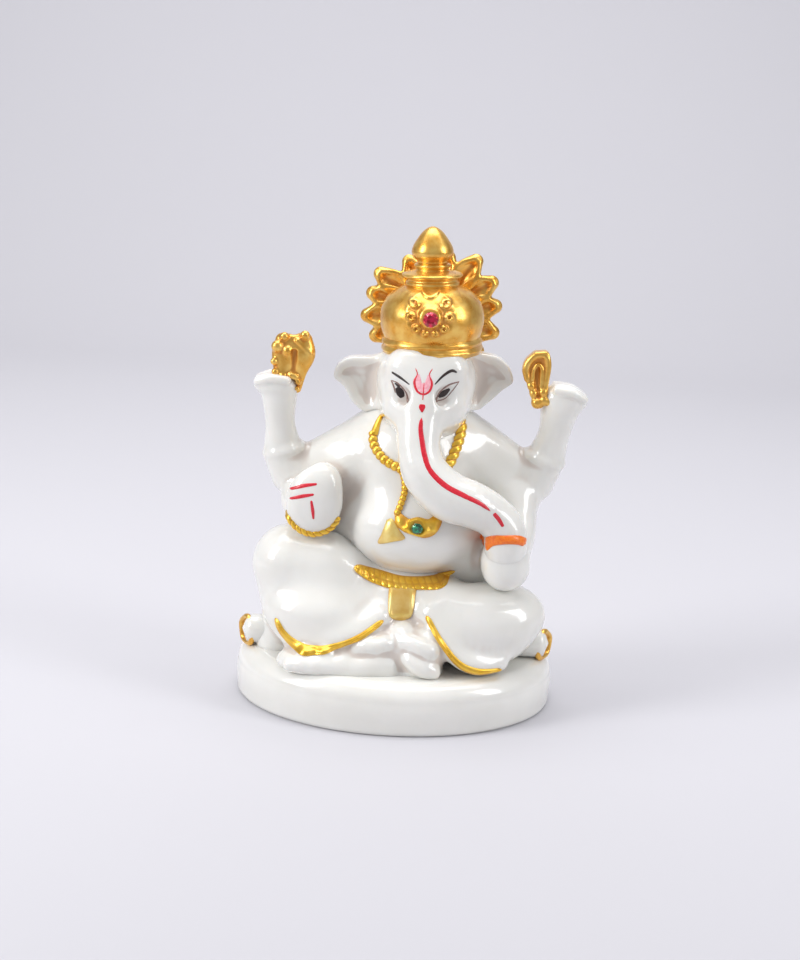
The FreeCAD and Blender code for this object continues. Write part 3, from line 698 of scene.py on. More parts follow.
def head():
    """Skull, brows, cheeks, dished ears and the trunk that swings to the figure's left."""
    clay = Clay(brow(-30, -31, -64), brow(32, 13, 6), step=0.42)
    clay.add(ball(brow(-1.0, -3.0, -8.5), (13.5, 12.6, 13.4)))
    clay.add(ball(brow(-1.4, -2.5, -17.5), (11.0, 10.6, 9.5)), 5)
    for side in (-1, 1):
        clay.add(ball(brow(-1.2 + side * 5.6, -10.6, -3.4), (4.6, 3.4, 3.8)), 4)
        clay.add(ball(brow(-1.3 + side * 7.0, -10.4, -14.6), (3.6, 3.4, 3.6)), 4)
    ears = np.array([(-10.5, -0.2), (-16.2, -2.2), (-22.6, -2.8), (-26.4, -5.4), (-27.2, -9.6),
                     (-24.2, -12.4), (-21.6, -16.6), (-17.0, -19.4), (-12.0, -15.0)])
    other = np.array([(8.0, 1.0), (14.0, 0.2), (18.8, -0.8), (22.4, -4.0), (23.6, -8.4),
                      (20.4, -11.4), (17.0, -14.8), (13.4, -17.2), (8.6, -14.0)])
    for outline in (ears, other):
        placed = outline + (CROWN_X, CROWN_FOOT)
        clay.add(fan(placed, CROWN_Y + 1.2, 0.9, 2.1), 3.4)
    clay.add(roll([brow(-1.9, -8.6, -6.0), brow(-2.1, -12.2, -12.5), brow(-2.4, -15.0, -19.0),
                   brow(-2.2, -17.4, -25.0), brow(0.2, -19.6, -31.0), brow(6.0, -20.4, -36.2),
                   brow(12.6, -20.0, -38.4), brow(18.0, -18.2, -41.4), brow(21.8, -17.6, -45.4),
                   brow(22.6, -17.8, -50.0), brow(22.8, -16.2, -56.0)],
                  [6.2, 6.4, 6.0, 5.8, 6.3, 6.7, 6.3, 5.8, 5.7, 5.8, 5.6], 44), 4.6)
    for side, lift in ((-1, 0.0), (1, 0.4)):
        clay.carve(ball(brow(-1.9 + side * 6.2, -15.7, -10.2 + lift), (3.6, 1.6, 2.2),
                        turn_about("Y", side * -32)), 2.0)
        clay.add(ball(brow(-1.9 + side * 5.8, -11.4, -10.6 + lift), (3.1, 2.0, 2.2),
                      turn_about("Y", side * -32)), 2.0)
    clay_piece("head_ears_and_trunk", clay, RESIN, "white_resin", "head", "trunk", "right_ear",
               "left_ear")
    return clay


def seat_roll():
    """Roll cushion: a bar along X whose ends are rounded and drawn in."""
    centre, reach = middle("seat_bolster"), half("seat_bolster")
    line = np.column_stack([np.linspace(-reach[0], reach[0], 60), np.full(60, centre[1]),
                            np.full(60, centre[2])])
    radius = reach[2] * rounded_ends(60, 0.03)
    piece("seat_roll", carried(line, radius, (0, 0, 1), 40), RESIN, "white_resin",
          "seat_bolster")


# ---------------------------------------------------------------- on the white surface

CLAYS = [legs(), body(), head()]
CHEST = CLAYS[1]
SEAT_FLAT = np.array([0.0, SEAT])
BROW_FLAT = np.array([CROWN_X, CROWN_FOOT])


def front(x, z, under=None):
    """Depth of the nearest white surface at each (x, z), or of the clay that is asked for
    wherever that clay is met, which takes a line on behind what hangs before it."""
    x, z, shape = np.ravel(x), np.ravel(z), np.shape(x)
    depth = np.min([clay.front(x, z) for clay in CLAYS], axis=0)
    if under is not None:
        own = under.front(x, z)
        depth = np.where(np.isfinite(own), own, depth)
    return depth.reshape(shape)


def filled(depth):
    """Depths with those that met no surface set a little behind the deepest that did."""
    known = np.isfinite(depth)
    return np.where(known, depth, depth[known].max() + 0.4)


def ease(values, passes=2):
    """Values averaged with their neighbours along the first axis."""
    for _ in range(passes):
        padded = np.concatenate([values[:1], values, values[-1:]])
        values = (padded[:-2] + 2 * values + padded[2:]) / 4
    return values


def laid(points, origin, count, proud=0.0, under=None):
    """Line in space over the white surface, through (x, z) points counted from an origin."""
    flat = smooth_line(points, count) + origin
    depth = ease(filled(front(flat[:, 0], flat[:, 1], under)), 4) - proud
    return np.column_stack([flat[:, 0], depth, flat[:, 1]])


def travelled(line):
    """Distance along a line at each of its points."""
    return np.append(0, np.cumsum(np.linalg.norm(np.diff(line, axis=0), axis=1)))


def ribbon(points, origin, width, height, count=60, across=11, relief=None, sink=0.5):
    """Band over the white surface: half an oval in section, height proud at its middle.

    Width is a half width, one number or one for each point. Relief is a factor on the
    height made from the distance along the band and the place across it from -1 to 1.
    """
    stations = np.column_stack([np.asarray(points, dtype=float),
                                np.broadcast_to(width, len(points))])
    line = smooth_line(stations, count)
    flat, reach = line[:, :2] + origin, line[:, 2:] * rounded_ends(count, 0.06)
    heading = np.gradient(flat, axis=0)
    heading /= np.linalg.norm(heading, axis=1)[:, None]
    u = np.sin(np.linspace(-np.pi / 2, np.pi / 2, across))
    x = flat[:, :1] - heading[:, 1:] * reach * u
    z = flat[:, 1:] + heading[:, :1] * reach * u
    depth = ease(filled(front(x, z)), 2)
    swell = np.sqrt(np.maximum(1 - u ** 2, 0)) * rounded_ends(count, 0.06)
    along = travelled(flat)[:, None]
    factor = np.ones_like(x) if relief is None else relief(along, u[None, :])
    top = depth - height * swell * factor
    under = depth[:, ::-1] + sink
    rings = np.stack([np.hstack([x, x[:, ::-1]]), np.hstack([top, under]),
                      np.hstack([z, z[:, ::-1]])], axis=2)
    # Painted shade: the low parts of the relief and the underside are marked to be darkened.
    pit_shade = np.hstack([np.clip((1 - factor) * 2.2, 0, 1), np.ones_like(under)])
    return capped(rings), np.append(pit_shade.ravel(), [0, 0])


def patch(outline, origin, height, rings=14, relief=None, sink=0.5, under=None):
    """Raised island: rings of its outline drawn in to its middle, domed near the rim."""
    closed = smooth_line(np.vstack([outline, outline[:1]]), 73)[:-1] + origin
    centre = closed.mean(0)
    share = np.sin(np.linspace(0.02, 1, rings) * np.pi / 2)[:, None]
    x = centre[0] + share * (closed[:, 0] - centre[0])
    z = centre[1] + share * (closed[:, 1] - centre[1])
    depth = filled(front(x, z, under))
    dome = np.sqrt(np.maximum(1 - share ** 4, 0))
    factor = np.ones_like(x) if relief is None else relief(x - origin[0], z - origin[1])
    top = depth - height * dome * factor
    stack = [np.vstack([x, x[::-1]]), np.vstack([top, depth[::-1] + sink]),
             np.vstack([z, z[::-1]])]
    # Painted shade: the low parts of the relief and the underside are marked to be darkened.
    pit_shade = np.vstack([np.clip((1 - factor) * 2.2, 0, 1) + 0 * x, np.ones_like(x)])
    return capped(np.stack(stack, axis=2)), np.append(pit_shade.ravel(), [pit_shade[0, 0], 1])


def rope(line, radius, pitch, twist, sides=20, up=(0, 1, 0)):
    """Bar with ribs: round it twice for a twisted cord, level for a row of beads."""
    angle = np.linspace(0, 2 * np.pi, sides, endpoint=False)
    along = travelled(line)[:, None]
    wave = np.abs(np.sin(np.pi * along / pitch + twist * angle))
    shape = np.broadcast_to(radius, (len(line),))[:, None] * (0.78 + 0.3 * wave ** 0.7)
    skin = carried(line, shape * rounded_ends(len(line), 0.05), up, sides)
    # Painted shade: the grooves between ribs and beads are marked to be darkened.
    pit_shade = np.clip(1 - wave * 1.7, 0, 1) * np.ones((1, sides))
    return skin, np.append(pit_shade.ravel(), [0, 0])


def painted(name, material, slot, origin, nodes, strokes, height=0.09):
    """One object of several brush strokes; each is its points and its half widths there."""
    whole = None
    for points, width in strokes:
        skin, _ = ribbon(points, origin, width, height, count=40, across=7, sink=0.25)
        whole = skin if whole is None else whole + skin
    piece(name, whole, material, slot, *nodes)


def necklace():
    """A smooth cord that thickens down the chest, then beads on the figure's right and a
    twisted cord on its left that joins them behind the trunk."""
    left = laid([(-12.0, -17.2), (-13.6, -20.0), (-14.6, -23.4)], BROW_FLAT, 60, 0.2)
    taper = np.linspace(0.35, 1.25, 60)[:, None] * rounded_ends(60, 0.08)
    whole = carried(left, taper, (0, 1, 0), 16)
    # Painted shade from each cord's grooves is gathered here and stored on the necklace.
    pit_shade = np.zeros(len(whole.points))
    for points, radius, pitch, twist in [
            ([(-14.8, -22.2), (-14.4, -25.6), (-11.4, -28.9), (-6.4, -31.0)], 1.25, 1.75, 0),
            ([(6.9, -15.6), (8.4, -17.8), (9.2, -20.8), (8.0, -25.4), (5.4, -30.6), (1.0, -33.0),
              (-3.6, -32.6), (-6.4, -31.0)], 1.45, 2.1, 1)]:
        skin, hollow_shade = rope(laid(points, BROW_FLAT, 150, 0.35, CHEST), radius, pitch, twist)
        whole, pit_shade = whole + skin, np.append(pit_shade, hollow_shade)
    piece("necklace_gold", whole, TRIM_GOLD, "gold_paint", "necklace", crease_shade=pit_shade)


def chest_ornaments():
    """Beaded chain, crescent pendant and small leaf over the belly."""
    skin, pit_shade = rope(laid([(-0.6, 53.8), (0.3, 51.0), (0.4, 48.0), (-0.4, 45.0), (-1.6, 42.0)],
                           SEAT_FLAT, 110, 0.25, CHEST), 0.9, 1.4, 0)
    piece("long_chain_gold", skin, TRIM_GOLD, "gold_paint", "long_chain", crease_shade=pit_shade)

    def beads(x, z):
        """Collar round the stone and a few beads in each horn of the crescent."""
        away = np.hypot(x - 4.3, z - 39.8)
        height = 0.7 + 0.4 * np.exp(-((away - 2.3) / 0.5) ** 2)
        for bead_x, bead_z in [(-0.6, 41.0), (1.0, 39.2), (7.2, 39.0), (7.6, 41.0), (9.2, 41.2),
                               (9.0, 39.4), (10.4, 42.8)]:
            bead = np.hypot(x - bead_x, z - bead_z)
            height = height + 0.4 * np.exp(-(bead / 0.75) ** 2)
        return height

    outline = np.array([(-1.9, 42.6), (-0.4, 43.0), (1.4, 41.6), (4.4, 42.2), (7.6, 41.8),
                        (10.0, 43.6), (11.0, 43.8), (10.9, 40.6), (9.2, 37.8), (6.4, 36.8),
                        (3.4, 37.5), (0.8, 38.2), (-1.6, 40.0)])
    skin, pit_shade = patch(outline, SEAT_FLAT, 1.4, 16, beads, under=CHEST)
    piece("pendant_gold", skin, TRIM_GOLD, "gold_paint", "pendant", crease_shade=pit_shade)

    def ridge(x, z):
        """Rib down the leaf: a bell curve across it."""
        return 0.8 + 0.3 * np.exp(-((x + 2.6) / 1.6) ** 2)

    leaf = np.array([(-4.0, 40.8), (-2.4, 41.2), (-0.4, 38.6), (1.2, 36.4), (-1.8, 35.2),
                     (-6.0, 34.0), (-5.2, 37.0)])
    skin, pit_shade = patch(leaf, SEAT_FLAT, 0.8, relief=ridge)
    piece("leaf_gold", skin, PALE_GOLD, "gold_paint", "leaf_pendant", crease_shade=pit_shade)


def end_ring(node, side):
    """Gold rim of the cushion's end: a ring with an oval section that faces out and forward.
    Its radius wavers five times round it."""
    centre, reach = middle(node), half(node)
    inset, thick, deep, waver = 0.9, 0.8, 0.9, 0.15
    turn = np.linspace(0, 2 * np.pi, 72, endpoint=False)
    section = np.linspace(0, 2 * np.pi, 16, endpoint=False)
    outer = reach[2] - inset + waver * np.sin(5 * turn)[:, None]
    radius = outer + thick * np.cos(section)
    y, z = radius * np.cos(turn)[:, None], radius * np.sin(turn)[:, None]
    x = np.broadcast_to(deep * np.sin(section), y.shape)
    grid = np.stack([x, y, z], axis=2) @ turn_about("Z", -30 * side).T
    grid = grid + centre + (0.5 * side, 0, -0.5)
    faces = lattice(72, 16, wrap_rows=True)
    ring = Skin(grid.reshape(-1, 3), [faces]).outward()
    piece(node + "_gold", ring, GOLD, "gold_paint", node)


def waist_and_hems():
    """Belt, hems and sash, the wrist's bangle, the trunk's band and the cushion's rims."""
    def two_rows(along, u):
        """Two rows of beads: the sine of the place across times a wave along the belt."""
        rows = np.abs(np.cos(np.pi * along / 1.8 + 1.4 * u)) * np.abs(np.sin(np.pi * u))
        return 0.74 + 0.34 * rows

    def rolled(along, u):
        """Hem with a groove on each side of its middle and a slow wave along it."""
        return 0.92 + 0.12 * np.cos(2 * np.pi * u) + 0.04 * np.sin(along * 1.3)

    def plain(x, z):
        """Flat cloth with a raised border near the edge of an upright box."""
        edge = np.maximum(np.abs(x - 1.0) / 3.5, np.abs(z - 18.6) / 4.7)
        return 0.8 + 0.2 * np.exp(-((edge - 0.8) / 0.09) ** 2)

    for name, node, points, width, height, relief in [
            ("belt_gold", "belt", [(-12.2, 26.4), (-6.6, 23.6), (0.6, 22.4), (10.0, 22.8),
                                   (15.6, 24.8)], [0.9, 1.6, 1.5, 1.2, 0.6], 1.3, two_rows),
            ("right_hem_gold", "right_hem", [(-32.9, 12.4), (-30.6, 8.7), (-26.4, 6.2),
                                             (-20.0, 6.2), (-11.5, 9.0), (-3.4, 14.0)],
             [0.8, 1.1, 1.3, 1.0, 0.8, 0.8], 0.9, rolled),
            ("left_hem_gold", "left_hem", [(8.0, 15.8), (12.0, 10.4), (16.7, 5.0), (21.8, 2.4),
                                           (29.4, 1.9)], [0.8, 0.8, 1.0, 1.2, 0.7], 0.9, rolled)]:
        skin, pit_shade = ribbon(points, SEAT_FLAT, width, height, 150, 15, relief)
        piece(name, skin, TRIM_GOLD, "gold_paint", node, crease_shade=pit_shade)
    outline = np.array([(-2.4, 23.0), (1.0, 23.2), (4.7, 22.8), (4.8, 18.6), (4.2, 14.8),
                        (3.0, 13.7), (1.0, 13.5), (-0.8, 13.8), (-2.0, 15.2), (-2.5, 18.8)])
    skin, pit_shade = patch(outline, SEAT_FLAT, 1.2, relief=plain)
    piece("sash_gold", skin, PALE_GOLD, "gold_paint", "sash", crease_shade=pit_shade)
    skin, pit_shade = rope(laid([(-31.4, 39.6), (-28.2, 36.2), (-23.9, 34.8), (-19.6, 36.2),
                            (-17.0, 39.6)], SEAT_FLAT, 130, 0.0), 0.95, 1.8, 1)
    piece("wrist_bangle_gold", skin, TRIM_GOLD, "gold_paint", "wrist_bangle", crease_shade=pit_shade)
    skin, _ = ribbon([(22.4, 34.0), (24.2, 37.2), (28.0, 38.2), (31.6, 38.0), (33.9, 36.6)],
                     SEAT_FLAT, [0.9, 1.4, 1.2, 1.2, 0.9], 0.6, 80, 13)
    piece("trunk_band_orange", skin, ORANGE_PAINT, "orange_paint", "trunk_band")
    end_ring("right_bolster_ring", -1)
    end_ring("left_bolster_ring", 1)


# ---------------------------------------------------------------- crown and halo

def crowned(points):
    """Points counted from the crown's foot, leaned to the figure's right and put in place."""
    x, y, z = points[..., 0], points[..., 1], points[..., 2]
    cosine, sine = math.cos(CROWN_LEAN), math.sin(CROWN_LEAN)
    return np.stack([x * cosine - z * sine, y, x * sine + z * cosine], axis=-1) + brow(0, 0, 0)


def lathe_crown(name, profile, node, rows, relief=None, sides=240):
    """Turned gold piece from (radius, height) points; relief is added along the radius."""
    line = smooth_line(np.array(profile, dtype=float), rows)
    angle = np.linspace(0, 2 * np.pi, sides, endpoint=False)
    radius = np.broadcast_to(line[:, :1], (rows, sides))
    height = np.broadcast_to(line[:, 1:], (rows, sides))
    bump = np.zeros((rows, sides)) if relief is None else relief(radius, height, angle[None, :])
    grid = [(radius + bump) * np.cos(angle), (radius + bump) * np.sin(angle), height]
    soft = bump
    for _ in range(14):
        soft = (np.roll(soft, 1, 1) + 2 * soft + np.roll(soft, -1, 1)) / 4
        soft = ease(soft, 1)
    # Painted shade: where the relief lies below its softened self it is marked to be darkened.
    pit_shade = np.clip((soft - bump) * 4.5, 0, 1)
    skin = capped(crowned(np.stack(grid, axis=2)))
    piece(name, skin, GOLD, "gold_paint", *node, crease_shade=np.append(pit_shade.ravel(), [0, 0]))


def crown():
    """Band of two rolls, bulging dome with a rosette, lipped rings and a pointed bud."""
    def band_relief(radius, height, angle):
        """Nine slow waves round the band, and three drips of gold at its foot."""
        drip = sum(np.exp(-((angle - place) / 0.09) ** 2) for place in (4.15, 4.85, 5.5))
        return 0.12 * np.sin(9 * angle + height) + 0.35 * drip * (height < 0.6)

    def rosette(radius, height, angle):
        """Collar, ring and scrolls, as heights over the dome near the middle of its front."""
        across = radius * np.cos(angle) + 0.6
        up = height - 10.6
        away = np.hypot(across, up)
        turn = np.arctan2(up, across)
        front_side = np.sin(angle) < -0.2
        ring = 0.26 * np.exp(-((away - 6.3) / 0.7) ** 2) * (0.6 + 0.4 * np.cos(9 * turn))
        collar = 1.15 * (1 - 1 / (1 + np.exp(-(away - 2.9) * 4.5)))
        scrolls = 0.0
        for place, spread, size in [(2.42, 5.4, 1.25), (0.72, 5.4, 1.25), (3.14, 5.0, 1.05),
                                    (0.0, 5.0, 1.05), (3.85, 4.8, 0.9), (-0.72, 4.8, 0.9),
                                    (4.4, 4.6, 0.6), (5.03, 4.6, 0.6)]:
            curl = np.hypot(across - spread * np.cos(place), up - spread * np.sin(place))
            scrolls = scrolls + 0.8 * np.exp(-((curl - size * 0.75) / 0.42) ** 2)
        crest = np.abs(np.hypot(across, up - 7.2) - 2.0)
        crest = 0.7 * np.exp(-(crest / 0.6) ** 2) * (up < 7.4)
        veil = 0.35 * np.exp(-((np.abs(turn - np.pi / 2) - 0.75) / 0.22) ** 2) * (away > 6.4)
        veil = veil * (away < 9.5)
        return front_side * (ring + collar + scrolls + crest + veil)

    lathe_crown("crown_band_gold", [(6, -1.4), (12.4, -1.2), (13.5, -0.5), (13.9, 0.3),
                                    (13.5, 1.1), (13.3, 1.5), (13.8, 2.2), (13.4, 3.1),
                                    (12.4, 3.7), (9, 3.9)],
                ["crown_band"], 70, band_relief)
    lathe_crown("crown_dome_gold", [(6, 2.0), (12.4, 2.2), (13.1, 3.4), (13.9, 5.8), (14.2, 8.6),
                                    (13.8, 11.4), (12.3, 14.2), (9.8, 16.2), (7.0, 17.4),
                                    (4.0, 17.6)],
                ["crown_dome", "crown_rosette"], 150, rosette, 420)
    lathe_crown("crown_rings_gold", [(4.0, 16.4), (6.7, 16.8), (7.3, 17.5), (7.4, 18.2),
                                     (6.9, 18.8), (7.1, 19.3), (8.2, 19.9), (8.1, 20.6),
                                     (6.4, 21.2), (4.5, 21.6), (4.8, 22.4), (4.9, 23.0),
                                     (4.0, 23.4), (2.0, 23.5)], ["crown_rings"], 110)
    lathe_crown("crown_bud_gold", [(1.5, 23.0), (3.8, 23.2), (4.4, 24.2), (5.4, 25.4), (5.7, 26.6),
                                   (5.2, 28.2), (4.1, 30.0), (2.9, 31.6), (1.6, 32.7),
                                   (0.5, 33.2)], ["crown_finial"], 90)


def halo():
    """Ring of blunt flame petals behind the crown, each with raised rims and a hollow."""
    centre = middle("halo")
    clay = Clay(centre - (24, 4.5, 24), centre + (24, 4.5, 24), step=0.36)
    hub = ball(centre, (12.0, 1.5, 12.0))
    clay.add(hub)
    for degrees, tip in [(-38, 18.5), (-16, 19.6), (8, 19.4), (29, 20.2), (52, 20.4), (76, 17.5),
                         (98, 16.5), (117, 17.0), (146, 19.4), (165, 18.8), (186, 19.6),
                         (206, 18.6), (228, 17.0), (252, 16.0), (276, 16.0), (300, 16.5)]:
        ray = np.array([math.cos(math.radians(degrees)), 0, math.sin(math.radians(degrees))])
        wide = np.array([-ray[2], 0, ray[0]])
        thin = (1.0, 0.5, 1.0)
        clay.add(roll([centre + 8 * ray, centre + (tip - 5.5) * ray, centre + (tip - 1.7) * ray],
                      [4.2, 3.5, 2.1], 12, thin), 0.5)
        for side in (-1, 1):
            clay.add(roll([centre + 9 * ray + wide * side * 3.5 + (0, -1.3, 0),
                           centre + (tip - 5) * ray + wide * side * 3.0 + (0, -1.3, 0),
                           centre + (tip - 1.4) * ray + wide * side * 0.7 + (0, -0.8, 0)],
                          [0.6, 0.7, 0.7], 10), 0.9)
        clay.carve(roll([centre + 7 * ray + (0, -2.2, 0),
                         centre + (tip - 3.4) * ray + (0, -1.7, 0)], [1.6, 0.9], 6), 1.2)
    clay_piece("halo_gold", clay, GOLD, "gold_paint", "halo", passes=6, shade_gain=2.4)


def emblems():
    """The axe in the rear right hand and the noose in the rear left one."""
    depth = middle("axe")[1] - 1.0
    clay = Clay(seat(-40, depth - 6, 69), seat(-24, depth + 6, 91), step=0.26)

    def at(x, z, forward=0.0):
        return seat(x, depth - forward, z)

    clay.add(roll([at(-34.6, 85.6), at(-35.2, 82), at(-34.4, 77.5)], [2.2, 2.4, 2.6], 12,
                  (1, 0.8, 1)))
    clay.add(roll([at(-28.8, 86.0), at(-28.2, 82.0), at(-29.6, 77.5), at(-30.3, 72.4)],
                  [2.2, 2.5, 1.9, 1.1], 18, (1, 0.8, 1)), 1.0)
    clay.add(ball(at(-31.6, 82.2), (4.6, 2.2, 5.4)), 1.2)
    for x, z, size in [(-36.0, 84.2, 1.7), (-34.2, 87.0, 1.2), (-33.2, 83.2, 1.5),
                       (-28.6, 87.6, 1.3), (-36.8, 80.0, 1.0), (-36.4, 77.2, 1.0),
                       (-34.2, 76.2, 1.0), (-32.0, 76.4, 1.0), (-30.8, 76.0, 0.9),
                       (-30.0, 74.6, 0.8), (-30.2, 72.8, 0.7)]:
        clay.add(ball(at(x, z, 1.5), (size, size, size)), 0.5)
    clay.add(roll([at(-30.6, 86.0, 1.6), at(-27.0, 82.6, 1.4)], [0.7, 0.6], 5), 0.5)
    clay.carve(roll([at(-31.3, 83.0, 2.2), at(-31.4, 78.2, 2.2)], [0.8, 0.9], 5), 0.5)
    clay.carve(roll([at(-31.8, 91.0, 0), at(-31.8, 88.4, 0)], [1.5, 0.9], 5), 0.8)
    clay_piece("axe_gold", clay, GOLD, "gold_paint", "axe", passes=5, shade_gain=3.4)

    depth = middle("noose")[1] - 0.6
    clay = Clay(seat(27, depth - 6, 68), seat(44, depth + 6, 90), step=0.26)
    loop = np.array([(33.6, 86.9), (30.8, 84.0), (30.1, 80.4), (31.8, 76.6), (33.0, 73.4),
                     (34.2, 70.4), (37.2, 70.4), (38.6, 73.8), (38.6, 78.4), (39.2, 83.0),
                     (37.8, 86.9)]) + SEAT_FLAT
    clay.add(fan(loop, depth, 0.5, 1.7), 0.5)
    for points, radius in [
            ([(32.0, 78.6), (31.8, 81.8), (33.8, 85.0), (36.8, 85.2), (37.8, 81.8),
              (37.4, 76.4)], 0.6),
            ([(33.8, 78.8), (33.9, 81.4), (35.0, 82.9), (36.0, 81.4), (36.0, 76.8)], 0.5)]:
        stations = [at(x, z, 1.6) for x, z in points]
        clay.add(roll(stations, [radius] * len(points), 22), 0.5)
    clay.carve(roll([at(34.9, 81.0, 2.2), at(34.9, 77.6, 2.1)], [0.6, 0.7], 5), 0.4)
    for x, z, size in [(36.8, 75.2, 1.3), (37.2, 73.0, 1.4), (38.6, 72.6, 1.2), (39.8, 73.4, 0.9),
                       (35.2, 72.2, 1.5), (34.2, 74.8, 1.1), (33.4, 76.8, 1.0)]:
        clay.add(ball(at(x, z, 1.6), (size, size, size)), 0.6)
    clay_piece("noose_gold", clay, GOLD, "gold_paint", "noose", passes=5, shade_gain=3.4)


def stone(name, material, slot, node, radius, lean):
    """Round cut stone: flat table, eight-sided slopes, girdle and a sunk point behind."""
    centre = middle(node)
    rows = [(0.56, 0.42), (0.8, 0.28), (1.0, 0.02), (1.0, -0.06), (0.3, -0.7)]
    angle = np.linspace(0, 2 * np.pi, 16, endpoint=False)
    rings = []
    for row, (share, rise) in enumerate(rows):
        reach = radius * share * (1 + 0.045 * np.cos(8 * angle + np.pi * row))
        rings.append(np.stack([reach * np.cos(angle), np.full(16, -rise * radius),
                               reach * np.sin(angle)], axis=1))
    skin = capped(np.array(rings) @ turn_about("X", lean).T)
    made = piece(name, skin.moved(centre), material, slot, node)
    made.data.polygons.foreach_set("use_smooth", np.zeros(len(made.data.polygons), dtype=bool))


# ---------------------------------------------------------------- paint

def face_paint():
    """Eyes, brows, forehead mark and the line down the trunk, brushed over the white."""
    painted("pupils_dark", DARK_PAINT, "dark_paint", BROW_FLAT, ["head"], [
        ([(-8.9, -8.6), (-8.0, -10.0), (-7.3, -11.3)], [0.6, 1.1, 0.6]),
        ([(-9.6, -7.6), (-8.2, -8.5)], [0.2, 0.5]),
        ([(2.2, -10.6), (3.6, -9.6), (5.2, -8.3)], [0.4, 0.85, 0.3])])
    painted("brows_dark", DARK_PAINT, "dark_paint", BROW_FLAT, ["head"], [
        ([(-10.6, -4.7), (-8.2, -5.8), (-5.6, -7.3)], [0.3, 0.36, 0.14]),
        ([(1.0, -6.9), (3.2, -4.6), (5.4, -3.3), (6.9, -3.8)], [0.14, 0.34, 0.4, 0.24])])
    painted("lids_brown", BROWN_PAINT, "dark_paint", BROW_FLAT, ["head"], [
        ([(-10.6, -7.0), (-9.8, -8.6), (-9.3, -10.2)], [0.2, 0.24, 0.12]),
        ([(-10.5, -7.0), (-8.6, -7.6), (-6.4, -10.0), (-5.9, -12.3)], [0.14, 0.2, 0.2, 0.3]),
        ([(1.5, -11.8), (2.6, -9.2), (4.9, -7.2), (7.7, -6.3)], [0.2, 0.22, 0.26, 0.14]),
        ([(1.6, -11.7), (4.0, -11.0), (6.0, -8.7), (7.6, -6.4)], [0.14, 0.12, 0.14, 0.1])])
    painted("mark_pink", PINK_PAINT, "red_paint", BROW_FLAT, ["head"], [
        ([(-1.9, -6.6), (-1.9, -7.6), (-1.8, -8.9)], [0.8, 1.3, 1.0]),
        ([(-3.5, -4.4), (-3.4, -6.0), (-2.8, -8.2)], [0.4, 0.8, 0.7]),
        ([(-0.5, -4.4), (-0.6, -6.0), (-1.2, -8.2)], [0.4, 0.8, 0.7])], 0.07)
    painted("mark_red", RED_PAINT, "red_paint", BROW_FLAT, ["head", "trunk"], [
        ([(-4.3, -2.9), (-3.7, -4.4), (-4.4, -6.4), (-3.6, -8.6), (-1.9, -9.4), (-0.3, -8.6),
          (0.3, -6.6), (-0.5, -4.4), (0.3, -2.8)],
         [0.12, 0.16, 0.32, 0.3, 0.26, 0.3, 0.32, 0.16, 0.12]),
        ([(-1.8, -6.4), (-1.85, -8.4), (-1.95, -10.9)], [0.12, 0.2, 0.1]),
        ([(-2.0, -11.9), (-2.0, -12.8), (-1.95, -14.0)], [0.7, 0.85, 0.15]),
        ([(-2.0, -15.3), (-2.1, -18.2), (-1.5, -21.4), (-0.6, -25.0), (1.1, -28.5),
          (5.3, -32.1), (10.5, -34.6), (14.6, -36.5), (17.6, -38.7)],
         [0.5, 0.62, 0.68, 0.7, 0.7, 0.7, 0.62, 0.55, 0.3]),
        ([(18.5, -39.4), (20.0, -41.2), (21.3, -43.2)], [0.5, 0.55, 0.4])], 0.1)
    painted("palm_marks_red", RED_PAINT, "red_paint", SEAT_FLAT, ["right_palm"], [
        ([(-30.7, 46.9), (-27.0, 48.4), (-23.2, 49.2)], [0.3, 0.5, 0.3]),
        ([(-30.6, 44.4), (-27.2, 45.6), (-23.9, 46.4)], [0.3, 0.5, 0.3]),
        ([(-24.6, 44.7), (-24.1, 42.0), (-23.8, 39.4)], [0.3, 0.45, 0.25])])


# ---------------------------------------------------------------- setting

def floor():
    """Pale sweep: flat under the idol, then a quarter round up into a wall."""
    reach, wall, sweep, top = 9000, 800, 300, 2400
    turn = np.linspace(0, np.pi / 2, 24)
    depth = np.concatenate([[-reach], wall - sweep + sweep * np.sin(turn), [wall]])
    level = np.concatenate([[0], sweep - sweep * np.cos(turn), [top]])
    x = np.linspace(-reach, reach, 3)
    grid = np.stack(np.broadcast_arrays(x[None, :], depth[:, None], level[:, None]), axis=2)
    made = Finish("floor_card", Specular_IOR_Level=0.2)
    made.feed(Base_Color=made.mix(made.noise(3, 1.0), rgb(199, 198, 203), rgb(202, 201, 206)),
              Roughness=0.75 + made.noise(30) * 0.1)
    mesh = bpy.data.meshes.new("floor")
    mesh.from_pydata((grid.reshape(-1, 3) * MM).tolist(), [],
                     lattice(len(depth), 3, wrap_columns=False).tolist())
    mesh.polygons.foreach_set("use_smooth", np.ones(len(mesh.polygons), dtype=bool))
    mesh.materials.append(made.material)
    sweep = bpy.data.objects.new("floor", mesh)
    bpy.context.scene.collection.objects.link(sweep)


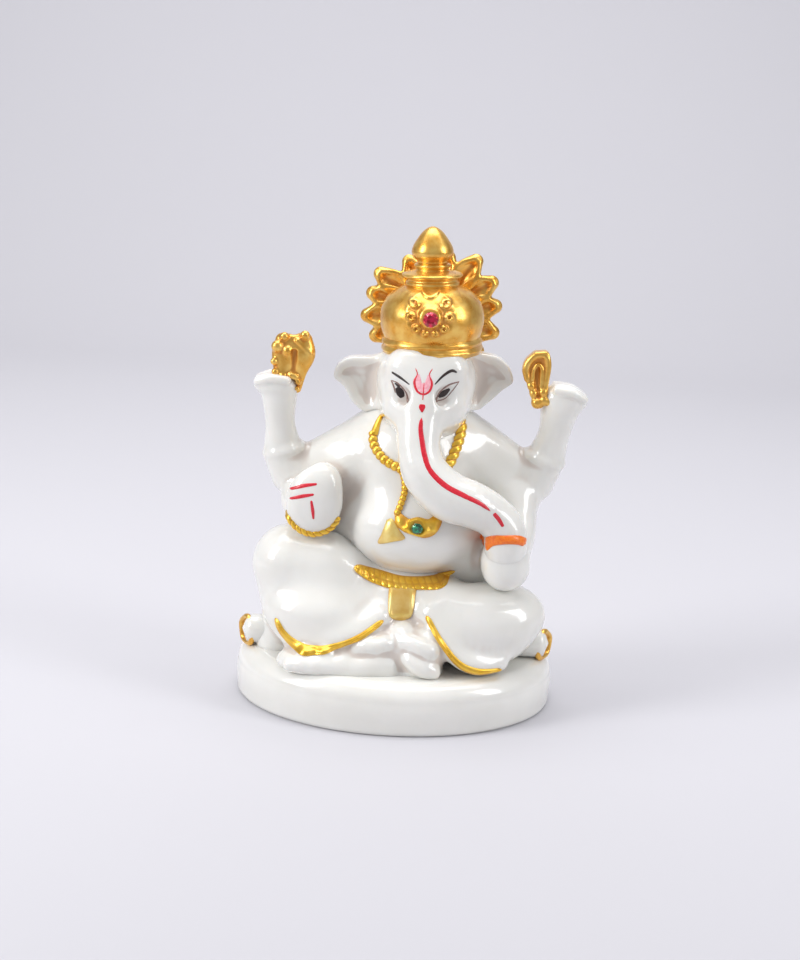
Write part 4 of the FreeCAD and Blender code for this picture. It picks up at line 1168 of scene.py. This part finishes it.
def aimed(made, position, target):
    """Place a lamp or camera, in mm, so that it looks at a target."""
    position, target = Vector(position) * MM, Vector(target) * MM
    made.location = position
    made.rotation_euler = (target - position).to_track_quat("-Z", "Y").to_euler()
    bpy.context.scene.collection.objects.link(made)
    return made


def lights():
    """Three soft boxes aimed at the idol and one on the wall, each with its place and size
    in mm and its power in watts, and a pale room."""
    for name, position, size, power in [("soft_left", (-500, -230, 350), (200, 380), 2.3),
                                        ("soft_right", (500, -210, 320), (160, 360), 1.2),
                                        ("soft_top", (0, 40, 620), (420, 420), 1.1)]:
        lamp = bpy.data.lights.new(name, "AREA")
        lamp.shape = "RECTANGLE"
        lamp.size, lamp.size_y = size[0] * MM, size[1] * MM
        lamp.energy = power
        aimed(bpy.data.objects.new(name, lamp), position, (0, 0, 60))
    wash = bpy.data.lights.new("wall_wash", "AREA")
    wash.size = 0.9
    wash.energy = 5.9
    aimed(bpy.data.objects.new("wall_wash", wash), (0, 260, 900), (0, 760, 350))
    world = bpy.data.worlds.new("room")
    world.use_nodes = True
    world.node_tree.nodes["Background"].inputs["Color"].default_value = rgb(232, 232, 238)
    world.node_tree.nodes["Background"].inputs["Strength"].default_value = 0.47
    bpy.context.scene.world = world


def camera():
    """Eye a little over the crown, looking 14 degrees down and rolled by 3 degrees."""
    lens = bpy.data.cameras.new("view")
    lens.lens = 66.6
    lens.sensor_width = 36.0
    lens.clip_start = 0.01
    distance, rise = 493.5, math.radians(14)
    target = np.array([-0.945, 0.0, 61.85])
    position = target + (0, -distance * math.cos(rise), distance * math.sin(rise))
    made = aimed(bpy.data.objects.new("view", lens), position, target)
    made.rotation_euler.rotate_axis("Z", math.radians(2.94))
    bpy.context.scene.camera = made


plinth()
seat_roll()
necklace()
chest_ornaments()
waist_and_hems()
crown()
halo()
emblems()
stone("crown_stone_cut", RED_STONE, "red_stone", "crown_stone", 2.0, -4)
stone("pendant_stone_cut", GREEN_STONE, "green_stone", "pendant_stone", 1.5, 4)
face_paint()
floor()
lights()
camera()
bpy.context.scene.view_settings.view_transform = "Standard"
